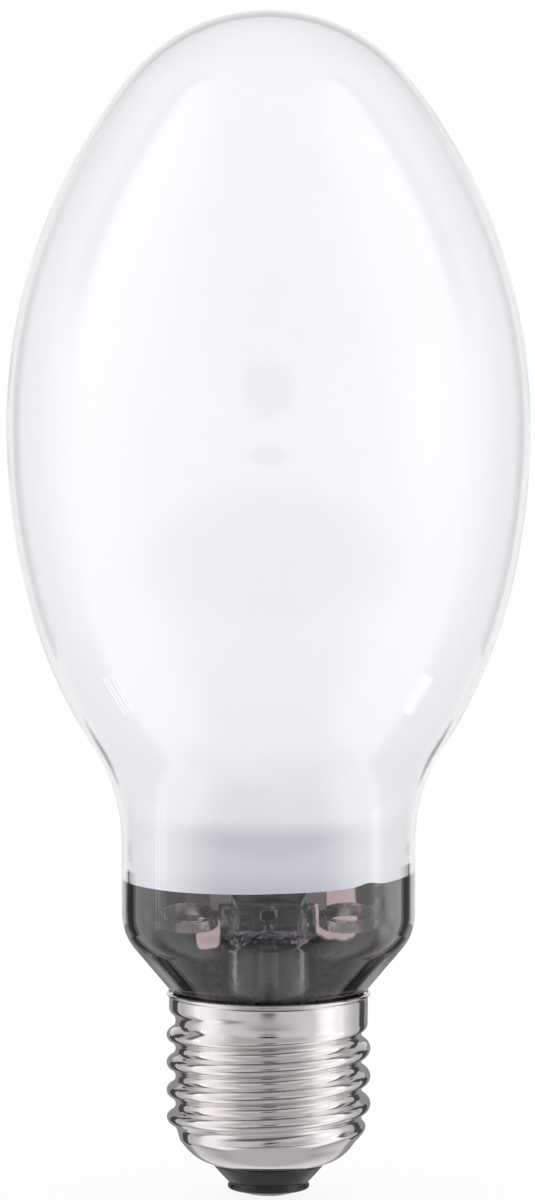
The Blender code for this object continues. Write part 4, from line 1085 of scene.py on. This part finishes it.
def add_inner_glow():
    """Stands in for the light that comes through the powder into the bulb and down to the stem."""
    lamp = add_lamp("light_through_powder", "POINT", GLOW_PLACE).data
    lamp.shadow_soft_size = GLOW_RADIUS * MM
    lamp.energy = GLOW_POWER


def add_camera():
    """A long lens at the photograph's angle, framed so that the picture's scale holds at the axis."""
    camera = bpy.data.cameras.new("camera")
    obj = linked("camera", camera)
    back = Vector((0.0, -math.cos(CAMERA_ELEVATION), math.sin(CAMERA_ELEVATION)))
    obj.location = (Vector(CAMERA_AIM) + back * CAMERA_DISTANCE) * MM
    obj.rotation_euler = (-back).to_track_quat("-Z", "Y").to_euler()
    camera.sensor_width = SENSOR_WIDTH
    camera.lens = SENSOR_WIDTH * CAMERA_DISTANCE * PIXELS_PER_MM / IMAGE_HEIGHT
    camera.clip_start = CLIP_START * MM
    camera.clip_end = CLIP_END * MM
    bpy.context.scene.camera = obj


# Node helpers


def new_material(name):
    """An empty node material and its tree; its surface is linked at the end."""
    mat = bpy.data.materials.new(name)
    mat.use_nodes = True
    mat.node_tree.nodes.clear()
    return mat, mat.node_tree


def add_node(tree, kind):
    return tree.nodes.new("ShaderNode" + kind)


def set_input(target, value):
    """Links a socket, or sets a constant on the shader's own socket."""
    if isinstance(value, bpy.types.NodeSocket):
        target.id_data.links.new(value, target)
    elif hasattr(target.default_value, "__len__") and len(value) == 3 and len(target.default_value) == 4:
        target.default_value = (*value, 1.0)
    else:
        target.default_value = value


def shader(tree, kind, **sockets):
    """A shader node with its sockets set by name; underscores stand for spaces."""
    made = add_node(tree, kind)
    for name, value in sockets.items():
        set_input(made.inputs[name.replace("_", " ")], value)
    return made


def math_node(operation, *values):
    tree = next(value.id_data for value in values if isinstance(value, bpy.types.NodeSocket))
    made = add_node(tree, "Math")
    made.operation = operation
    for socket, value in zip(made.inputs, values):
        set_input(socket, value)
    return made.outputs["Value"]


def plus(first, second):
    return math_node("ADD", first, second)


def times(first, second):
    return math_node("MULTIPLY", first, second)


def larger(first, second):
    return math_node("MAXIMUM", first, second)


def between(factor, first, second):
    """Blends two numbers."""
    return plus(first, times(math_node("SUBTRACT", second, first), factor))


def ramp(value, limits, ends=RISING, smooth=True):
    """Maps a value from its limits to two ends, clamped, with soft ends when smooth."""
    made = add_node(value.id_data, "MapRange")
    made.interpolation_type = "SMOOTHSTEP" if smooth else "LINEAR"
    names = ("Value", "From Min", "From Max", "To Min", "To Max")
    for name, number in zip(names, (value, *limits, *ends)):
        set_input(made.inputs[name], number)
    return made.outputs["Result"]


def place_ramp(place, limits, ends=RISING):
    """A ramp along the piece, its limits in millimetres."""
    return ramp(place, [limit * MM for limit in limits], ends)


def axes_of(vector):
    parts = add_node(vector.id_data, "SeparateXYZ")
    set_input(parts.inputs["Vector"], vector)
    return parts.outputs["X"], parts.outputs["Y"], parts.outputs["Z"]


def places(tree):
    """Places on the piece, in metres from the lamp's origin."""
    return add_node(tree, "TexCoord").outputs["Object"]


def grain(tree, size, detail, stretch=EVEN):
    """Noise between 0 and 1 whose features are about size millimetres."""
    mapping = shader(tree, "Mapping", Vector=places(tree), Scale=stretch)
    place = mapping.outputs["Vector"]
    return shader(tree, "TexNoise", Vector=place, Scale=1.0 / (size * MM), Detail=detail).outputs["Fac"]


def blend(factor, first, second):
    """Mixes two colours."""
    made = add_node(factor.id_data, "Mix")
    made.data_type = "RGBA"
    colours = [socket for socket in made.inputs if socket.type == "RGBA"]
    for socket, value in zip((made.inputs["Factor"], *colours), (factor, first, second)):
        set_input(socket, value)
    return [socket for socket in made.outputs if socket.type == "RGBA"][0]


def bump(height, distance):
    """A normal from a height; distance is in millimetres."""
    made = shader(height.id_data, "Bump", Height=height, Distance=distance * MM, Strength=1.0)
    return made.outputs["Normal"]


def mix_shaders(factor, first, second):
    made = add_node(factor.id_data, "MixShader")
    for socket, value in zip(made.inputs, (factor, first.outputs[0], second.outputs[0])):
        set_input(socket, value)
    return made


def show(mat, made):
    """Puts a shader on the material's output."""
    set_input(add_node(mat.node_tree, "OutputMaterial").inputs["Surface"], made.outputs[0])
    return mat


def principled(tree, **sockets):
    return shader(tree, "BsdfPrincipled", **sockets)


def solid(mat, **sockets):
    return show(mat, principled(mat.node_tree, **sockets))


def seen_by(tree, *rays):
    """1 for the two kinds of ray named and 0 for others."""
    path = add_node(tree, "LightPath")
    return larger(*(path.outputs["Is %s Ray" % ray] for ray in rays))


# Materials


def clear_glass(name):
    """Blown or drawn glass with faint waves; light from lamps passes it without bending."""
    tint, depth, size, bubbles, crumples = GLASSES[name]
    mat, tree = new_material(name + "_look")
    waves = grain(tree, size, WAVE_DETAIL)
    if bubbles > 0.0:
        waves = plus(waves, times(grain(tree, *BUBBLES), bubbles))
    if crumples > 0.0:
        low = PINCH_TOP - PINCH_LENGTH - STEM_DRAWN_LENGTH
        height = axes_of(places(tree))[2]
        share = place_ramp(height, (low, low + CRUMPLES_LENGTH), (0.0, crumples))
        waves = plus(waves, times(grain(tree, *PINCH_CRUMPLES), share))
    glass = principled(
        tree,
        Base_Color=tint,
        Roughness=0.0,
        IOR=GLASS_IOR,
        Transmission_Weight=1.0,
        Normal=bump(waves, depth),
    )
    clear = shader(tree, "BsdfTransparent", Color=GLASS_FOR_LAMPS)
    return show(mat, mix_shaders(seen_by(tree, "Shadow", "Diffuse"), glass, clear))


def coating_material():
    """Fine powder: nearly even white, thinner and greyer towards its lower edge, with painted light that
    keeps its sides lighter.
    """
    mat, tree = new_material("white_coating_look")
    x, y, height = axes_of(places(tree))
    clouds = grain(tree, *COATING_CLOUDS)
    thin = ramp(clouds, GRAIN_RANGE, COATING_CLOUD_SHARES, smooth=False)
    for limits, share in COATING_STEPS:
        thin = plus(thin, place_ramp(height, limits, (share, 0.0)))
    # Painted light: the greying is lessened towards the sides, by the distance across x alone
    painted_side_light = math_node("ABSOLUTE", x)
    painted_side_light = place_ramp(painted_side_light, PAINTED_SIDE_LIGHT_RANGE, (1.0, 1.0 - PAINTED_SIDE_LIGHT_SHARE))
    return solid(
        mat,
        Base_Color=blend(times(thin, painted_side_light), COATING_LIGHT, COATING_DEEP),
        Roughness=COATING_ROUGHNESS,
        Specular_IOR_Level=COATING_SHINE,
        Normal=bump(grain(tree, *POWDER), POWDER_RELIEF),
    )


def metal(name):
    """Bare or plated metal with slight tarnish and fine working marks."""
    colour, worn, roughness, spots, stretch, relief = METALS[name]
    mat, tree = new_material(name + "_look")
    patches = grain(tree, spots, METAL_DETAIL)
    return solid(
        mat,
        Base_Color=blend(ramp(patches, METAL_WORN), colour, worn),
        Metallic=1.0,
        Roughness=plus(roughness, ramp(patches, METAL_ROUGH, METAL_ROUGHER)),
        Normal=bump(grain(tree, *METAL_MARKS, stretch), relief),
    )


def dull(name):
    """Ceramic, frit or cement: a speckled, slightly rough surface."""
    colour, darker, roughness, spots = DULLS[name]
    mat, tree = new_material(name + "_look")
    patches = grain(tree, spots, DULL_DETAIL)
    return solid(
        mat,
        Base_Color=blend(ramp(patches, DULL_DARKER), colour, darker),
        Roughness=roughness,
        Normal=bump(patches, DULL_RELIEF),
    )


def getter_metal():
    """Bright rolled upright walls; faces turned up or down are dark, partly fired metal in the trough and
    partly painted shade.
    """
    mat, tree = new_material("getter_look")
    facing = axes_of(add_node(tree, "NewGeometry").outputs["Normal"])[2]
    # Painted shade: the further a face turns up or down, the darker it is painted, underside and edges too
    level = ramp(math_node("ABSOLUTE", facing), GETTER_SHADE_TILT)
    patches = grain(tree, *GETTER_PATCHES)
    rolled = blend(patches, *GETTER_ROLLED)
    fired_and_shaded = blend(patches, *GETTER_FIRED_AND_SHADED)
    return solid(
        mat,
        Base_Color=blend(level, rolled, fired_and_shaded),
        Metallic=1.0,
        Roughness=ramp(patches, GRAIN_RANGE, GETTER_ROUGHNESS),
        Normal=bump(patches, GETTER_RELIEF),
    )


def black_glass():
    """Black moulded glass with soft mould marks."""
    mat, tree = new_material("black_glass_look")
    marks = grain(tree, *BLACK_GLASS_MARKS)
    return solid(
        mat,
        Base_Color=blend(marks, *BLACK_GLASS_TONES),
        Roughness=ramp(marks, GRAIN_RANGE, BLACK_GLASS_ROUGHNESS),
        Normal=bump(marks, BLACK_GLASS_RELIEF),
    )


def patch_distance(along, centre, half, power):
    """How far a place is from a patch's centre along one axis, 1 at its edge."""
    away = math_node("DIVIDE", math_node("SUBTRACT", along, centre * MM), half * MM)
    return math_node("POWER", math_node("ABSOLUTE", away), power)


def patch(x, z, centre_x, centre_z, half_x, half_z, power):
    """How far a place is from a patch's centre, 1 at its edge; a high power squares the patch up."""
    across = patch_distance(x, centre_x, half_x, power)
    return plus(across, patch_distance(z, centre_z, half_z, power))


def film_thickness(tree, x, y, z, behind):
    """How dense the film is: clear in front, dense at the sides and behind, with thin places."""
    ragged = ramp(grain(tree, *FILM_RAGS), FILM_RAG_RANGE, BOTH_WAYS, smooth=False)
    across = plus(math_node("ABSOLUTE", x), times(ragged, FILM_RAG_DEPTH * MM))
    thick = larger(place_ramp(across, FILM_SIDE), behind)
    front = place_ramp(y, FILM_IN_FRONT, FALLING)
    uneven = times(ragged, FILM_WINDOW_RAGGED)
    for *place, share in FILM_WINDOWS:
        away = plus(uneven, patch(x, z, *place, FILM_WINDOW_POWER))
        window = ramp(away, FILM_WINDOW_EDGE, (1.0 - share, 1.0))
        thick = times(thick, larger(window, front))
    return thick


def film_metal(tree, x, z, behind):
    """The mirror's tone, with dark specks low down and painted shade behind where the view through the
    exhaust hole lands.
    """
    upper = blend(place_ramp(x, FILM_RIGHT), FILM_METAL, FILM_METAL_RIGHT)
    beside = blend(place_ramp(z, FILM_LOW), FILM_METAL_LOW, upper)
    tone = blend(behind, beside, FILM_METAL_BEHIND)
    specks = ramp(grain(tree, *FILM_SPECKS), FILM_SPECK_EDGE)
    specks = times(specks, place_ramp(z, FILM_SPECKLED, FALLING))
    # Painted shade: a dark patch on the film behind, where the view through the exhaust hole lands
    hole_shade = ramp(patch(x, z, *FILM_HOLE_SHADE, FILM_HOLE_SHADE_POWER), FILM_HOLE_SHADE_EDGE, FALLING)
    dark = larger(specks, times(hole_shade, behind))
    return blend(dark, tone, FILM_SPECK_AND_SHADE)


def film_material():
    """Getter metal: a dark mirror, clear in front, and thin enough to see through at places behind."""
    mat, tree = new_material("getter_film_look")
    x, y, z = axes_of(places(tree))
    behind = place_ramp(y, FILM_BEHIND)
    thick = film_thickness(tree, x, y, z, behind)
    tone = film_metal(tree, x, z, behind)
    mirror = principled(tree, Base_Color=tone, Metallic=1.0, Roughness=FILM_ROUGHNESS)
    tint = blend(behind, FILM_CLEAR, FILM_TINT)
    clear = shader(tree, "BsdfTransparent", Color=tint)
    return show(mat, mix_shaders(thick, clear, mirror))


def floor_material():
    """Pale matt floor. The camera sees it near white with the lamp's shadow; mirrors and glass don't see
    it.
    """
    mat, tree = new_material("floor_look")
    tone = ramp(grain(tree, *FLOOR_CLOUDS), GRAIN_RANGE, FLOOR_TONES)
    paint = shader(tree, "BsdfDiffuse", Color=tone)
    glow = shader(tree, "Emission", Color=WHITE, Strength=1.0)
    share = times(seen_by(tree, "Camera", "Transmission"), FLOOR_WHITE_SHARE)
    return show(mat, mix_shaders(share, paint, glow))


# Studio


def tone_ramp(level, tones):
    """Grey tones along a level from -1 to 1; tones may be brighter than white."""
    brightest = max(tone for place, tone in tones)
    made = add_node(level.id_data, "ValToRGB")
    elements = made.color_ramp.elements
    while len(elements) < len(tones):
        elements.new(0.5)
    for element, (place, tone) in zip(elements, tones):
        element.position = (place + 1.0) / 2.0
    for element, (place, tone) in zip(elements, tones):
        share = tone / brightest
        element.color = (share, share, share, 1.0)
    set_input(made.inputs["Fac"], ramp(level, BOTH_WAYS, smooth=False))
    return times(axes_of(made.outputs["Color"])[0], brightest)


def darkened(tone, direction, height, half_height, half_width, dark):
    """Puts a soft dark oval in front of the lamp, on the camera's side."""
    x, y, z = direction
    across = math_node("POWER", math_node("DIVIDE", x, half_width), 2.0)
    above = math_node("DIVIDE", math_node("SUBTRACT", z, height), half_height)
    away = plus(across, math_node("POWER", above, 2.0))
    behind = ramp(y, DARK_ZONE_DEPTH, (0.0, DARK_ZONE_BEHIND), smooth=False)
    share = ramp(plus(away, behind), DARK_ZONE_EDGE, FALLING)
    return between(share, tone, dark)


def studio_tone(tree):
    """How bright the studio looks in mirrors and glass in each direction."""
    x, y, z = axes_of(add_node(tree, "TexCoord").outputs["Generated"])
    flat = math_node("SQRT", math_node("SUBTRACT", 1.0, times(z, z)))
    level = math_node("DIVIDE", y, larger(flat, LEAST_FLATNESS))
    key = plus(times(x, KEY_DIRECTION[0]), times(y, KEY_DIRECTION[1]))
    gain = ramp(key, KEY_EDGE, (0.0, KEY_GAIN))
    tone = plus(tone_ramp(level, SIDE_TONES), gain)
    tone = between(ramp(z, UPPER_RANGE), tone, tone_ramp(level, UPPER_TONES))
    lower = ramp(z, LOWER_RANGE, FALLING)
    tone = between(lower, tone, tone_ramp(level, LOWER_TONES))
    for zone in DARK_ZONES:
        tone = darkened(tone, (x, y, z), *zone)
    steep = ramp(math_node("ABSOLUTE", z), POLE_RANGE)
    return between(steep, tone, POLE_TONE)


def add_world():
    """White to the camera, a studio to mirrors and glass, and a plain grey level as light."""
    world = bpy.data.worlds.new("studio")
    bpy.context.scene.world = world
    world.use_nodes = True
    tree = world.node_tree
    tree.nodes.clear()
    strength = between(seen_by(tree, "Glossy", "Transmission"), WORLD_LIGHT, studio_tone(tree))
    strength = between(add_node(tree, "LightPath").outputs["Is Camera Ray"], strength, 1.0)
    light = shader(tree, "Background", Color=WHITE, Strength=strength)
    set_input(add_node(tree, "OutputWorld").inputs["Surface"], light.outputs[0])


def add_cards():
    """Curved cards beside and behind the lamp, for the lines that the neck and the cap mirror."""
    cards = [(side, *card) for sides, *card in CARDS for side in sides]
    for i, (side, distance, first, last, foot, top, tone) in enumerate(cards):
        rows = [[], []]
        for angle in even_steps(math.radians(first), math.radians(last), CARD_STEPS):
            for row, height in zip(rows, (foot, top)):
                row.append((side * distance * math.cos(angle), distance * math.sin(angle), height))
        card = skin("card_%d" % i, rows, around=False)
        card.visible_camera = False
        card.visible_diffuse = False
        card.visible_shadow = False
        mat, tree = new_material("card_look_%d" % i)
        dress(card, show(mat, shader(tree, "Emission", Strength=tone)))


# The whole scene


def dress(obj, mat):
    obj.data.materials.clear()
    obj.data.materials.append(mat)


def build_cap(looks):
    dress(add_cap_shell(), looks["nickel"])
    dress(add_cap_insulator(), black_glass())
    dress(add_contact_plate(), looks["contact"])
    dress(add_pip(), looks["solder"])
    dress(add_side_drop(), looks["solder"])
    dress(add_cement_ring(), looks["cement"])


def build_stem(looks):
    glass = clear_glass("stem_glass")
    dress(add_stem_tube(), glass)
    dress(add_pumping_tube(), glass)
    for lead in add_leads():
        dress(lead, looks["wire"])
    getter = getter_metal()
    for side, label in ((-1, "left"), (1, "right")):
        dress(add_strip(side, label), looks["strip"])
        trough, tab = add_getter(side, label)
        dress(trough, getter)
        dress(tab, looks["strip"])


def build_lamp():
    looks = {name: metal(name) for name in METALS}
    looks.update((name, dull(name)) for name in DULLS)
    dress(add_glass_bulb(), clear_glass("clear_glass"))
    dress(add_coating(), coating_material())
    dress(add_getter_film(), film_material())
    build_cap(looks)
    build_stem(looks)
    for look, nodes in PLAIN_SOLIDS.items():
        for node in nodes:
            dress(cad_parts[node], looks[look])


def build_studio():
    dress(add_floor(), floor_material())
    add_world()
    add_cards()
    for softbox in SOFTBOXES:
        add_softbox(*softbox)
    add_inner_glow()
    add_camera()


def set_colours():
    bpy.context.scene.view_settings.view_transform = "Standard"


build_lamp()
build_studio()
set_colours()
